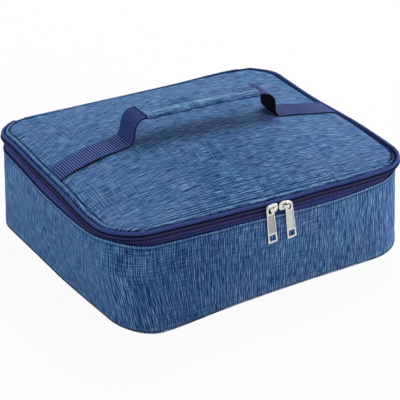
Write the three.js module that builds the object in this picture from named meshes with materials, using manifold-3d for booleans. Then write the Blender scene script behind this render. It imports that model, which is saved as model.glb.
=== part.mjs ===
// An insulated lunch bag: a soft box of foam-padded fabric walls, a crowned lid on a
// fabric hinge, a zip round the front and both sides with two sliders, and a webbing
// handle across the lid.
// Millimetres. +X is the wearer's right along the long front, +Y runs from the front to
// the hinge at the back, +Z is up, and the origin is the middle of the underside.
import * as THREE from "three";
import { mergeVertices } from "three/addons/utils/BufferGeometryUtils.js";
import Module from "manifold-3d";

const wasm = await Module();
wasm.setup();

// Driving sizes
const bagWidth = 300; // across the outer fabric, side to side
const bagDepth = 257; // across the outer fabric, front to back
const cornerRadius = 34; // upright corners, at the outer fabric
const bodyHeight = 80; // ground to the hem that the zip is sewn under
const lidCrown = 20; // middle of the lid above its edge
const crownPower = 2.2; // how flat the crown is in the middle

// Cloth, foam and liner
const fabricThickness = 0.9;
const foamThickness = 5;
const linerThickness = 0.6;
const boardThickness = 1.5;
const bindingThickness = 3; // bias tape folded round a seam
const bindingHeight = 4;
const topBindingThickness = 1; // flat tape over the seam under the body's hem
const topBindingHeight = 9;
const seatGap = 0.3; // between two pieces that touch

// Zip
const tapeThickness = 0.8;
const tapeSeam = 8; // tape hidden behind the body's hem
const tapeShow = 3.6; // tape between the hem and the lower row
const coilHeight = 2.6;
const coilThickness = 1.6;
const chainGap = 1.6; // between the two rows, where the slider's neck runs
const pipingDiameter = 3;
const pipingInset = 1.2; // outermost point of the piping, in from the wall
const pipingLift = 0.6; // piping above the upper row

// Sliders
const sliderMeet = 6.4; // place along X where the two noses meet
const sliderNoseGap = 0.5;
const sliderLength = 13;
const sliderNoseHeight = 10; // front plate, at the nose
const sliderBackHeight = 7.6; // back plate, under the piping
const sliderTaper = 1.8; // how much lower a plate is at its tail
const sliderFrontPlate = 1.4;
const sliderBackPlate = 1;
const neckLength = 3;
const neckInset = 1.2; // neck back from the tip of the nose
const bridgePost = 1.8; // across the bridge's two round posts
const bridgeBar = 1.2; // thickness of the bar over the pull's eye
const bridgeReach = 5.6; // between the centres of the posts
const bridgeWidth = 3.4; // height of the bar

// Pulls
const pullLength = 33; // centre of the eye to the lower end
const pullHeadRadius = 3.9;
const pullEyeRadius = 1.9;
const pullShoulder = 7.6; // width under the head
const pullWidth = 9.4; // width at the lower end
const pullThickness = 1.1;
const pullWindow = 5.3;
const pullWindowMargin = 2.1; // metal left below the window
const pullTilt = THREE.MathUtils.degToRad(5.5); // how the pulls hang in the photograph

// Handle
const webbingWidth = 26;
const webbingThickness = 1.6;
const footReach = 77; // middle of the bag to where the strap leaves the lid
const gripLength = 118;
const gripRise = 42; // middle of the strap in the grip, above the lid's edge
const footBend = 5.5; // how far the strap's bend at the foot reaches in
const gripBend = 13; // how far its bend at the grip reaches out
const wrapThickness = 1.2; // of the fabric sleeve
const wrapLength = 115;
const hemWidth = 3.2; // stitched hem along the lid's edge

// Numbers of facets
const cornerSteps = 6;
const edgeSteps = 6;
const pipingSides = 10;
const roundSides = 16;
const strapSteps = 10;
const crownShares = [0.28, 0.52, 0.72, 0.87]; // rings of the crown, as shares of its size

// Heights above the ground, from the sizes above
const halfWidth = bagWidth / 2;
const halfDepth = bagDepth / 2;
const boardBottom = fabricThickness + seatGap;
const foamBottom = boardBottom + boardThickness + seatGap;
const floorTop = foamBottom + foamThickness;
const linerBottom = floorTop + seatGap;
const linerTop = linerBottom + linerThickness;
const lowerCoilBottom = bodyHeight + tapeShow;
const lowerCoilTop = lowerCoilBottom + coilHeight;
const upperCoilBottom = lowerCoilTop + chainGap;
const upperCoilTop = upperCoilBottom + coilHeight;
const chainMiddle = (lowerCoilTop + upperCoilBottom) / 2;
const pipingMiddle = upperCoilTop + pipingLift + pipingDiameter / 2;
const lidEdge = pipingMiddle + pipingDiameter / 2;

// Distances in from the outer face of the wall
const tapeInset = fabricThickness + seatGap;
const tapeInner = tapeInset + tapeThickness;
const coilInset = tapeInner + seatGap;
const coilInner = coilInset + coilThickness;
const foamInset = coilInset;
const foamInner = foamInset + foamThickness;
const linerInset = foamInner + seatGap;
const linerInner = linerInset + linerThickness;
const backPlateInset = coilInner + seatGap;
const backPlateInner = backPlateInset + sliderBackPlate;
const frontPlateInner = tapeInset - seatGap;
const frontPlateOuter = frontPlateInner - sliderFrontPlate;
const panelInset = pipingInset + pipingDiameter + seatGap;
const lidBindingInset = backPlateInner + 2 * seatGap;
const lidFoamInset = lidBindingInset + bindingThickness + seatGap;

// Materials, in the colours of the photograph
const material = (color, roughness, metalness = 0) =>
  new THREE.MeshStandardMaterial({ color, roughness, metalness });
const bagFabric = material(0x4a76ad, 0.9);
const foam = material(0xeceff0, 0.95);
const foil = material(0xc4c8cc, 0.35, 0.6);
const navyTape = material(0x2c3460, 0.8);
const navyCoil = material(0x2b2a44, 0.55);
const navyPiping = material(0x2f3a70, 0.7);
const navyWebbing = material(0x37345f, 0.85);
const nickel = material(0xd6d6d0, 0.3, 1);
const board = material(0x8b8d90, 0.7);

// Points of the bag's outline from above, moved in by an inset, anticlockwise from the
// back end of the left rear corner. The last straight stretch is the back edge.
function outline(inset, steps = 1) {
  const radius = cornerRadius - inset;
  const centreX = halfWidth - cornerRadius;
  const centreY = halfDepth - cornerRadius;
  const corners = [
    [-centreX, centreY],
    [-centreX, -centreY],
    [centreX, -centreY],
    [centreX, centreY],
  ];
  const points = [];
  corners.forEach(([x, y], corner) => {
    for (let step = 0; step <= cornerSteps; step++) {
      const angle = (Math.PI / 2) * (1 + corner + step / cornerSteps);
      points.push(
        new THREE.Vector2(
          x + radius * Math.cos(angle),
          y + radius * Math.sin(angle),
        ),
      );
    }
    const [nextX, nextY] = corners[(corner + 1) % corners.length];
    const turn = (Math.PI / 2) * (2 + corner);
    const last = points[points.length - 1].clone();
    const next = new THREE.Vector2(
      nextX + radius * Math.cos(turn),
      nextY + radius * Math.sin(turn),
    );
    for (let step = 1; step < steps; step++)
      points.push(last.clone().lerp(next, step / steps));
  });
  return points;
}

function mesh(name, geometry, finish) {
  const made = new THREE.Mesh(geometry, finish);
  made.name = name;
  return made;
}

function extrude(shape, depth) {
  return new THREE.ExtrudeGeometry(shape, { depth, bevelEnabled: false });
}

// A flat sheet over the whole outline
function sheet(name, inset, bottom, thickness, finish) {
  const geometry = extrude(new THREE.Shape(outline(inset)), thickness);
  return mesh(name, geometry.translate(0, 0, bottom), finish);
}

// A closed upright band round the outline
function closedBand(name, inset, thickness, bottom, top, finish) {
  const shape = new THREE.Shape(outline(inset));
  shape.holes.push(new THREE.Path(outline(inset + thickness)));
  const geometry = extrude(shape, top - bottom);
  return mesh(name, geometry.translate(0, 0, bottom), finish);
}

// An upright band round the front, the sides and the corners, open along the back edge
function openBand(name, inset, thickness, bottom, top, finish) {
  const outer = outline(inset);
  const inner = outline(inset + thickness).reverse();
  const geometry = extrude(
    new THREE.Shape([...outer, ...inner]),
    top - bottom,
  );
  return mesh(name, geometry.translate(0, 0, bottom), finish);
}

// A straight slab along the back edge, between the ends of the open bands
function backSlab(name, inset, thickness, bottom, top, finish) {
  const width = 2 * (halfWidth - cornerRadius - seatGap);
  const geometry = new THREE.BoxGeometry(width, thickness, top - bottom);
  geometry.translate(
    0,
    halfDepth - inset - thickness / 2,
    (bottom + top) / 2,
  );
  return mesh(name, geometry, finish);
}

// A closed surface through rings of equal count, from a middle point round to another
function ringSolid(first, rings, last) {
  const count = rings[0].length;
  const vertices = [first, ...rings.flat(), last];
  const index = [];
  const at = (ring, step) => 1 + ring * count + (step % count);
  for (let step = 0; step < count; step++) {
    index.push(0, at(0, step), at(0, step + 1));
    index.push(
      vertices.length - 1,
      at(rings.length - 1, step + 1),
      at(rings.length - 1, step),
    );
    for (let ring = 0; ring + 1 < rings.length; ring++) {
      const [a, b] = [at(ring, step), at(ring + 1, step)];
      const [d, c] = [at(ring, step + 1), at(ring + 1, step + 1)];
      // The shorter diagonal, so that layers over one another are split alike
      if (
        vertices[a].distanceTo(vertices[c]) < vertices[b].distanceTo(vertices[d])
      )
        index.push(a, b, c, a, c, d);
      else index.push(a, b, d, b, c, d);
    }
  }
  return new THREE.BufferGeometry()
    .setFromPoints(vertices)
    .setIndex(index);
}

// Height of the lid's outer face over a point
function crownAt(x, y) {
  const along = Math.min(1, Math.abs(x) / (halfWidth - panelInset));
  const across = Math.min(1, Math.abs(y) / (halfDepth - panelInset));
  const rise = (1 - along ** crownPower) * (1 - across ** crownPower);
  return lidEdge + lidCrown * rise;
}

// A ring of the crown: the lid's outline shrunk to a share of its size, some way under the
// face. Between two of the crown's rings the face is straight.
function crownRing(share, below) {
  const marks = [0, ...crownShares, 1];
  const next = marks.findIndex((mark) => mark >= share);
  const [low, high] = [marks[next - 1], marks[next]];
  const part = (share - low) / (high - low);
  return outline(panelInset, edgeSteps).map(({ x, y }) => {
    const height = THREE.MathUtils.lerp(
      crownAt(x * low, y * low),
      crownAt(x * high, y * high),
      part,
    );
    return new THREE.Vector3(x * share, y * share, height - below);
  });
}

// Share of the lid's size at which a ring lies some way in from its edge
function shareAt(inset) {
  return 1 - inset / (halfDepth - panelInset);
}

// One crowned layer of the lid, out to a share of its size
function crownedLayer(name, edgeShare, below, thickness, finish) {
  const shares = [...crownShares, edgeShare];
  const deep = below + thickness;
  const upper = shares.map((share) => crownRing(share, below));
  const lower = shares.map((share) => crownRing(share, deep)).reverse();
  const middle = (depth) => new THREE.Vector3(0, 0, crownAt(0, 0) - depth);
  return mesh(
    name,
    ringSolid(middle(below), [...upper, ...lower], middle(deep)),
    finish,
  );
}

// The lid's outer cloth, with its edge turned down behind the piping
function crownedPanel(name, thickness, lipBottom, finish) {
  const shares = [...crownShares, 1];
  const lipShare = shareAt(thickness);
  const inner = [...crownShares, lipShare];
  const upper = shares.map((share) => crownRing(share, 0));
  const lower = inner.map((share) => crownRing(share, thickness)).reverse();
  const level = (ring) =>
    ring.map((point) => new THREE.Vector3(point.x, point.y, lipBottom));
  const lip = [level(crownRing(1, 0)), level(crownRing(lipShare, 0))];
  const middle = (depth) => new THREE.Vector3(0, 0, crownAt(0, 0) - depth);
  return mesh(
    name,
    ringSolid(middle(0), [...upper, ...lip, ...lower], middle(thickness)),
    finish,
  );
}

// A round cord round the front, the sides and the corners
function openPiping(name, inset, diameter, middle, finish) {
  const radius = diameter / 2;
  const rings = [];
  for (let side = 0; side < pipingSides; side++) {
    const angle = (2 * Math.PI * side) / pipingSides;
    const height = middle + radius * Math.sin(angle);
    const ring = outline(inset + radius - radius * Math.cos(angle));
    rings.push(ring.map((p) => new THREE.Vector3(p.x, p.y, height)));
  }
  const stations = rings[0].length;
  const vertices = rings.flat();
  const index = [];
  const at = (side, step) => (side % pipingSides) * stations + step;
  for (let side = 0; side < pipingSides; side++)
    for (let step = 0; step + 1 < stations; step++)
      index.push(
        at(side, step),
        at(side, step + 1),
        at(side + 1, step + 1),
        at(side, step),
        at(side + 1, step + 1),
        at(side + 1, step),
      );
  for (let side = 1; side + 1 < pipingSides; side++) {
    index.push(at(0, 0), at(side, 0), at(side + 1, 0));
    index.push(
      at(0, stations - 1),
      at(side + 1, stations - 1),
      at(side, stations - 1),
    );
  }
  const geometry = new THREE.BufferGeometry()
    .setFromPoints(vertices)
    .setIndex(index);
  return mesh(name, geometry, finish);
}

// The fabric that joins the back panel to the lid and bends as the lid opens
function hingeFabric() {
  const width = 2 * (halfWidth - cornerRadius - seatGap);
  const reach = panelInset - seatGap;
  const bend = lidEdge - reach;
  const shape = new THREE.Shape();
  shape.moveTo(0, bodyHeight + seatGap);
  shape.lineTo(0, bend);
  shape.absarc(reach, bend, reach, Math.PI, Math.PI / 2, true);
  shape.lineTo(reach, lidEdge - fabricThickness);
  shape.absarc(
    reach,
    bend,
    reach - fabricThickness,
    Math.PI / 2,
    Math.PI,
    false,
  );
  shape.lineTo(fabricThickness, bodyHeight + seatGap);
  const geometry = new THREE.ExtrudeGeometry(shape, {
    depth: width,
    bevelEnabled: false,
    curveSegments: cornerSteps,
  });
  // The shape's X runs in from the back wall, and its extrusion runs along the bag
  geometry.applyMatrix4(
    new THREE.Matrix4().makeBasis(
      new THREE.Vector3(0, -1, 0),
      new THREE.Vector3(0, 0, 1),
      new THREE.Vector3(-1, 0, 0),
    ),
  );
  return mesh(
    "hinge_fabric",
    geometry.translate(width / 2, halfDepth, 0),
    bagFabric,
  );
}

function solidOf(geometry) {
  const bare = geometry.clone();
  bare.deleteAttribute("normal");
  bare.deleteAttribute("uv");
  const merged = mergeVertices(bare);
  return new wasm.Manifold(
    new wasm.Mesh({
      numProp: 3,
      vertProperties: merged.attributes.position.array,
      triVerts: new Uint32Array(merged.index.array),
    }),
  );
}

function joined(geometries) {
  const [first, ...rest] = geometries.map(solidOf);
  const whole = rest.reduce((sum, solid) => sum.add(solid), first).getMesh();
  const positions = new Float32Array(whole.vertProperties);
  return new THREE.BufferGeometry()
    .setAttribute("position", new THREE.BufferAttribute(positions, 3))
    .setIndex(new THREE.BufferAttribute(new Uint32Array(whole.triVerts), 1));
}

// The slider in its own frame: X towards the nose, Y in towards the bag, Z up, with the
// middle of the chain at the origin and Y counted from the outer face of the wall
function sliderGeometry() {
  const half = sliderLength / 2;
  const plate = (inset, thickness, height) => {
    const tailHeight = height - sliderTaper;
    const shape = new THREE.Shape([
      new THREE.Vector2(-half, -tailHeight / 2),
      new THREE.Vector2(half, -height / 2),
      new THREE.Vector2(half, height / 2),
      new THREE.Vector2(-half, tailHeight / 2),
    ]);
    const geometry = extrude(shape, thickness).rotateX(Math.PI / 2);
    return geometry.translate(0, inset + thickness, 0);
  };
  const through = backPlateInner - frontPlateOuter;
  const neck = new THREE.BoxGeometry(
    neckLength,
    through,
    chainGap - 2 * seatGap,
  ).translate(
    half - neckInset - neckLength / 2,
    frontPlateOuter + through / 2,
    0,
  );
  const layer = pullThickness + 2 * seatGap; // room for the pull under the bar
  const tall = layer + bridgeBar + sliderFrontPlate / 2;
  const post = (x) =>
    new THREE.CylinderGeometry(
      bridgePost / 2,
      bridgePost / 2,
      tall,
      roundSides,
    ).translate(x, frontPlateOuter + sliderFrontPlate / 2 - tall / 2, 0);
  const barLength = bridgeReach + bridgePost;
  const bar = new THREE.BoxGeometry(barLength, bridgeBar, bridgeWidth);
  bar.translate(0, frontPlateOuter - layer - bridgeBar / 2, 0);
  return joined([
    plate(frontPlateOuter, sliderFrontPlate, sliderNoseHeight),
    plate(backPlateInset, sliderBackPlate, sliderBackHeight),
    neck,
    post(-bridgeReach / 2),
    post(bridgeReach / 2),
    bar,
  ]);
}

// The pull in its own frame: the eye's centre at the origin, hanging down along -Z
function pullGeometry() {
  const shoulder = Math.sqrt(pullHeadRadius ** 2 - (pullShoulder / 2) ** 2);
  const turn = Math.atan2(shoulder, pullShoulder / 2);
  const shape = new THREE.Shape();
  shape.moveTo(-pullWidth / 2, -pullLength);
  shape.lineTo(pullWidth / 2, -pullLength);
  shape.lineTo(pullShoulder / 2, -shoulder);
  shape.absarc(0, 0, pullHeadRadius, -turn, Math.PI + turn, false);
  const eye = new THREE.Path();
  eye.absarc(0, 0, pullEyeRadius, 0, 2 * Math.PI, true);
  const low = -pullLength + pullWindowMargin;
  const window = new THREE.Path([
    new THREE.Vector2(-pullWindow / 2, low),
    new THREE.Vector2(-pullWindow / 2, low + pullWindow),
    new THREE.Vector2(pullWindow / 2, low + pullWindow),
    new THREE.Vector2(pullWindow / 2, low),
  ]);
  shape.holes.push(eye, window);
  const geometry = new THREE.ExtrudeGeometry(shape, {
    depth: pullThickness,
    bevelEnabled: false,
    curveSegments: roundSides / 2,
  });
  return geometry
    .rotateX(Math.PI / 2)
    .translate(0, frontPlateOuter - seatGap, 0);
}

// One slider with its pull. side is -1 for the left one, whose nose points right, and +1
// for the right one, which is the left one turned end for end.
function sliderPair(side, label) {
  const place = sliderMeet + (side * (sliderLength + sliderNoseGap)) / 2;
  const slider = sliderGeometry();
  if (side > 0) slider.scale(-1, 1, 1);
  const body = mesh("slider_" + label, turned(slider, side > 0), nickel);
  body.position.set(place, -halfDepth, chainMiddle);
  const pull = mesh("pull_" + label, pullGeometry(), nickel);
  pull.position.set(place + (side * bridgeReach) / 2, -halfDepth, chainMiddle);
  pull.rotation.y = -pullTilt;
  return [body, pull];
}

// A mirrored geometry with its faces turned back out
function turned(geometry, mirrored) {
  if (!mirrored) return geometry;
  const corners = geometry.index.array;
  for (let corner = 0; corner < corners.length; corner += 3)
    [corners[corner + 1], corners[corner + 2]] = [
      corners[corner + 2],
      corners[corner + 1],
    ];
  return geometry;
}

// A strap as wide as the webbing, along a line of points [x, z] through its middle
function strap(name, line, thickness, finish) {
  const points = line.map(([x, z]) => new THREE.Vector2(x, z));
  const sides = points.map((point, place) => {
    const before = points[Math.max(0, place - 1)];
    const after = points[Math.min(points.length - 1, place + 1)];
    const along = after.clone().sub(before).normalize();
    return new THREE.Vector2(-along.y, along.x).multiplyScalar(thickness / 2);
  });
  const upper = points.map((point, place) => point.clone().add(sides[place]));
  const lower = points.map((point, place) => point.clone().sub(sides[place]));
  const shape = new THREE.Shape([...lower, ...upper.reverse()]);
  const geometry = extrude(shape, webbingWidth).rotateX(Math.PI / 2);
  return mesh(name, geometry.translate(0, webbingWidth / 2, 0), finish);
}

const strapLift = seatGap + webbingThickness / 2; // strap's middle above the lid
const gripHeight = lidEdge + gripRise;
const footHeight = crownAt(footReach, 0) + strapLift;

// The flat end of the strap, sewn down on the crown from the hem to the foot
function strapEnd(side, label) {
  const outer = halfWidth - panelInset - hemWidth;
  const line = [];
  for (let step = 0; step <= strapSteps; step++) {
    const x = outer + ((footReach - outer) * step) / strapSteps;
    line.push([side * x, crownAt(x, 0) + strapLift]);
  }
  return strap("strap_end_" + label, line, webbingThickness, navyWebbing);
}

// The free rise of the strap: in from the foot along the lid, up, and in again to the grip
function strapRiser(side, label) {
  const low = footReach - 2 * seatGap;
  const high = gripLength / 2 + 2 * seatGap;
  const inward = crownAt(low - footBend, 0) - crownAt(low, 0);
  const line = new THREE.CubicBezierCurve(
    new THREE.Vector2(low, footHeight),
    new THREE.Vector2(low - footBend, footHeight + inward),
    new THREE.Vector2(high + gripBend, gripHeight),
    new THREE.Vector2(high, gripHeight),
  );
  return strap(
    "strap_riser_" + label,
    line.getPoints(strapSteps).map(({ x, y }) => [side * x, y]),
    webbingThickness,
    navyWebbing,
  );
}

// The strap inside the grip, and the fabric sleeve sewn round it
function grip() {
  const half = gripLength / 2;
  const middle = strap(
    "strap_middle",
    [
      [-half, gripHeight],
      [half, gripHeight],
    ],
    webbingThickness,
    navyWebbing,
  );
  const inY = webbingWidth / 2 + seatGap;
  const inZ = webbingThickness / 2 + seatGap;
  const rectangle = (y, z) => [
    new THREE.Vector2(-y, -z),
    new THREE.Vector2(y, -z),
    new THREE.Vector2(y, z),
    new THREE.Vector2(-y, z),
  ];
  const shape = new THREE.Shape(
    rectangle(inY + wrapThickness, inZ + wrapThickness),
  );
  shape.holes.push(new THREE.Path(rectangle(inY, inZ)));
  const sleeve = extrude(shape, wrapLength)
    .rotateX(Math.PI / 2)
    .rotateZ(Math.PI / 2)
    .translate(-wrapLength / 2, 0, gripHeight);
  return [middle, mesh("grip_wrap", sleeve, bagFabric)];
}

function body() {
  const group = new THREE.Group();
  const wallBottom = fabricThickness + seatGap;
  const foamTop = bodyHeight - seatGap;
  group.add(
    sheet("bottom_panel", 0, 0, fabricThickness, bagFabric),
    sheet("base_board", tapeInset, boardBottom, boardThickness, board),
    sheet("floor_foam", linerInset, foamBottom, foamThickness, foam),
    sheet(
      "floor_liner",
      linerInner + seatGap,
      linerBottom,
      linerThickness,
      foil,
    ),
    closedBand(
      "floor_binding",
      linerInner + seatGap,
      bindingThickness,
      linerTop + seatGap,
      linerTop + seatGap + bindingHeight,
      navyTape,
    ),
    openBand(
      "outer_wall",
      0,
      fabricThickness,
      wallBottom,
      bodyHeight,
      bagFabric,
    ),
    backSlab(
      "back_panel",
      0,
      fabricThickness,
      wallBottom,
      bodyHeight,
      bagFabric,
    ),
    openBand("wall_foam", foamInset, foamThickness, foamBottom, foamTop, foam),
    backSlab("back_foam", foamInset, foamThickness, foamBottom, foamTop, foam),
    closedBand(
      "wall_liner",
      linerInset,
      linerThickness,
      linerBottom,
      foamTop,
      foil,
    ),
    closedBand(
      "wall_binding",
      linerInner + seatGap,
      topBindingThickness,
      foamTop - topBindingHeight,
      foamTop,
      navyTape,
    ),
    openBand(
      "lower_zip_tape",
      tapeInset,
      tapeThickness,
      bodyHeight - tapeSeam,
      lowerCoilTop,
      navyTape,
    ),
    openBand(
      "lower_zip_coil",
      coilInset,
      coilThickness,
      lowerCoilBottom,
      lowerCoilTop,
      navyCoil,
    ),
    hingeFabric(),
  );
  return group;
}

function lid() {
  const group = new THREE.Group();
  const lipBottom = upperCoilTop + pipingLift + fabricThickness;
  const foamBelow = fabricThickness + seatGap;
  const linerBelow = foamBelow + foamThickness + seatGap;
  const foamShare = shareAt(lidFoamInset - panelInset);
  // The tape stops one gap short of the round of the piping
  const pipingRadius = pipingDiameter / 2;
  const across = pipingInset + pipingRadius - tapeInner;
  const tapeTop =
    pipingMiddle -
    Math.sqrt(Math.max(0, (pipingRadius + seatGap) ** 2 - across ** 2));
  group.add(
    crownedPanel("lid_panel", fabricThickness, lipBottom, bagFabric),
    crownedLayer("lid_foam", foamShare, foamBelow, foamThickness, foam),
    crownedLayer("lid_liner", foamShare, linerBelow, linerThickness, foil),
    closedBand(
      "lid_binding",
      lidBindingInset,
      bindingThickness,
      lipBottom - seatGap - bindingHeight,
      lipBottom - seatGap,
      navyTape,
    ),
    openPiping(
      "rim_piping",
      pipingInset,
      pipingDiameter,
      pipingMiddle,
      navyPiping,
    ),
    openBand(
      "upper_zip_tape",
      tapeInset,
      tapeThickness,
      upperCoilBottom,
      tapeTop,
      navyTape,
    ),
    openBand(
      "upper_zip_coil",
      coilInset,
      coilThickness,
      upperCoilBottom,
      upperCoilTop,
      navyCoil,
    ),
    strapEnd(-1, "left"),
    strapEnd(1, "right"),
    strapRiser(-1, "left"),
    strapRiser(1, "right"),
  );
  return group;
}

const bag = new THREE.Group();
bag.add(
  body(),
  lid(),
  ...grip(),
  ...sliderPair(-1, "left"),
  ...sliderPair(1, "right"),
);

export default bag;
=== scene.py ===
import math

import bmesh
import bpy
import numpy as np
from mathutils import Matrix, Vector


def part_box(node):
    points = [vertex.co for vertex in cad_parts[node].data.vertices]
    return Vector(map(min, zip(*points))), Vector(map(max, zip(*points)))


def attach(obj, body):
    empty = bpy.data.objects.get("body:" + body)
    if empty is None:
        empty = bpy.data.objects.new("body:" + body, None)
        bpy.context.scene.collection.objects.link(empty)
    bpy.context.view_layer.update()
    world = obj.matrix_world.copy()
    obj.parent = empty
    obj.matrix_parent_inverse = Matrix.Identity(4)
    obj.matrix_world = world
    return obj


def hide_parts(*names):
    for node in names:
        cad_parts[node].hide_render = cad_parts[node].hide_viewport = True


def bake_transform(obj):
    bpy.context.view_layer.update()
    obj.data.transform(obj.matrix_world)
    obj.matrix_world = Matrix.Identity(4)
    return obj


# Looks of the insulated lunch bag. Lengths are in millimetres until a mesh is made, and
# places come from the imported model: +X right along the front, +Y to the hinge, +Z up.

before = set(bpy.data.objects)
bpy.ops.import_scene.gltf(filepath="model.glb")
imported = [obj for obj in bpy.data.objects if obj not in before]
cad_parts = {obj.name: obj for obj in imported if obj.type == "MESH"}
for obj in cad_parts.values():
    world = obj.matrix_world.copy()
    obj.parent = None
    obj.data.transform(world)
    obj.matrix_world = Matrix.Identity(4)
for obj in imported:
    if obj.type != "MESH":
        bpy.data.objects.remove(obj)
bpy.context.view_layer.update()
MM = 0.001


def node_box(node):
    low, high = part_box(node)
    return np.array(low) / MM, np.array(high) / MM


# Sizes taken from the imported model
HALF_X, HALF_Y = node_box("bottom_panel")[1][:2]
HEM_Z = node_box("outer_wall")[1][2]
LOWER_ROW = [corner[2] for corner in node_box("lower_zip_coil")]
UPPER_ROW = [corner[2] for corner in node_box("upper_zip_coil")]
CHAIN_Z = (LOWER_ROW[1] + UPPER_ROW[0]) / 2
LID_HIGH = node_box("lid_panel")[1]
PANEL_INSET = HALF_X - LID_HIGH[0]
PIPING_LOW, PIPING_HIGH = node_box("rim_piping")
WEBBING = node_box("strap_middle")[1][1] * 2
BACK_REACH = node_box("hinge_fabric")[1][0]

# Sizes of the cloth and trim
CORNER = 34.0
CLOTH = 0.9
PIPING = 3.0
PIPING_INSET = HALF_X - PIPING_HIGH[0] + PIPING / 2
PIPING_Z = (PIPING_LOW[2] + PIPING_HIGH[2]) / 2
LID_EDGE = PIPING_Z + PIPING / 2
LID_CROWN = LID_HIGH[2] - LID_EDGE
CROWN_POWER = 2.2
CROWN_LEAN = 0.3
LID_HEM = 4.3
SEAM_Z = 2.4
STITCH = 2.7
STITCH_GAP = 0.9
THREAD = 0.42
RIB_PITCH = 2.35
TOOTH_PITCH = 1.5

# The strap's middle line across the bag, [x, z]. None stands for the lid's face there
STRAP_RISE_LEFT = [(-77.5, None), (-72.6, 116.5), (-70.2, 123.5), (-68.6, 130.0), (-65.2, 135.2),
                   (-60.5, 137.2)]
STRAP_GRIP = [(-55, 137.4), (-28, 137.6), (0, 137.3), (28, 136.2), (55, 134.6)]
STRAP_RISE_RIGHT = [(60.5, 133.9), (66.3, 132.4), (71.0, 129.4), (74.0, 124.4), (74.6, 118.0),
                    (75.3, 113.2), (79.0, None)]

# Sideways shifts of the soft body, [place along the outline from the middle of the front, x, y],
# as the photograph's lower edge and corners show them
FLOOR_SHIFT = [(-528, 0, 0), (-411, -1.0, 0), (-362, -1.0, 0), (-309, 1.2, 0), (-244, 3.2, 0),
               (-189, 8.0, 0),
               (-160, 11.0, -1.5), (-136, 10.0, -7.5), (-116, 8.0, -9.5), (-100, 4.0, -8.6),
               (-71, 2.0, -5.0),
               (-38, 0, -1.2), (0, 0, 1.8), (48, 0, 4.4), (109, 0, 6.0), (130, 0.5, 7.4), (150, 5.8, 7.2),
               (170, 7.4, 5.4), (264, 1.6, 1.0), (358, 0, 0), (528, 0, 0)]
HEM_SHIFT = [(-528, 0, 0), (-415, 0, 0), (-385, 2.4, 0), (-365, 3.2, 0), (-335, 1.4, 0), (-300, 0, 0),
             (60, 0, 0),
             (110, -0.5, 2.0), (140, -1.5, 4.0), (165, -2.0, 3.5), (230, 0, 0), (528, 0, 0)]

# Camera, fitted to the outline and seams of the photograph
CAMERA_PLACE = Vector((-619.3, -1113.2, 704.8)) * MM
CAMERA_YAW = math.radians(-29.19)
CAMERA_PITCH = math.radians(27.72)
CAMERA_ROLL = math.radians(-0.12)
CAMERA_LENS = 139.97


# Colours, written from 0 to 255 as they look on a screen

def linear(part):
    if part > 10:
        return ((part / 255 + 0.055) / 1.055) ** 2.4
    return part / 3294.6


def colour(red, green, blue):
    return linear(red), linear(green), linear(blue), 1.0


class Shader:
    """A material's node tree, with one call for each node."""

    def __init__(self, name):
        self.material = bpy.data.materials.new(name)
        self.material.use_nodes = True
        self.tree = self.material.node_tree
        self.tree.nodes.clear()

    def add(self, kind, inputs=None, **settings):
        node = self.tree.nodes.new("ShaderNode" + kind)
        for key, value in settings.items():
            setattr(node, key, value)
        for key, value in (inputs or {}).items():
            if isinstance(value, bpy.types.NodeSocket):
                self.tree.links.new(value, node.inputs[key])
            else:
                node.inputs[key].default_value = value
        return node

    def maths(self, operation, first, second=0.0, third=0.0):
        return self.add("Math", {0: first, 1: second, 2: third}, operation=operation).outputs[0]

    def scaled(self, vector, scale):
        return self.add("VectorMath", {0: vector, 1: scale}, operation="MULTIPLY").outputs[0]

    def noise(self, vector, detail=2.0, roughness=0.5):
        inputs = {"Vector": vector, "Scale": 1.0, "Detail": detail, "Roughness": roughness}
        return self.add("TexNoise", inputs).outputs["Fac"]

    def ramp(self, factor, stops):
        node = self.add("ValToRGB", {"Fac": factor})
        elements = node.color_ramp.elements
        while len(elements) < len(stops):
            elements.new(0.5)
        for element, (place, tint) in zip(elements, stops):
            element.position = place
            element.color = tint
        return node.outputs["Color"]

    def blend(self, factor, first, second):
        node = self.add("Mix", data_type="RGBA")
        for socket, value in ((node.inputs[0], factor), (node.inputs[6], first), (node.inputs[7], second)):
            if isinstance(value, bpy.types.NodeSocket):
                self.tree.links.new(value, socket)
            else:
                socket.default_value = value
        return node.outputs[2]

    def weave(self):
        """Millimetres along the warp and across it, kept on each piece."""
        return self.add("Attribute", attribute_name="weave").outputs["Vector"]

    def place(self):
        """Millimetres in the frame."""
        return self.scaled(self.add("TexCoord").outputs["Object"], (1000, 1000, 1000))

    def finish(self, tint, bump=None, depth=0.1, **inputs):
        sockets = {"Base Color": tint}
        for key, value in inputs.items():
            sockets[key.replace("_", " ").title().replace("Ior", "IOR")] = value
        if bump is not None:
            normal = self.add("Bump", {"Height": bump, "Distance": depth * MM, "Strength": 1.0})
            sockets["Normal"] = normal.outputs[0]
        surface = self.add("BsdfPrincipled", sockets)
        self.add("OutputMaterial", {"Surface": surface.outputs[0]})
        return self.material


YARN_TURN = 3.0
YARN_BEND = 8.0
DRIFT_START = (12.4, 8.8, 0)


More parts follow.
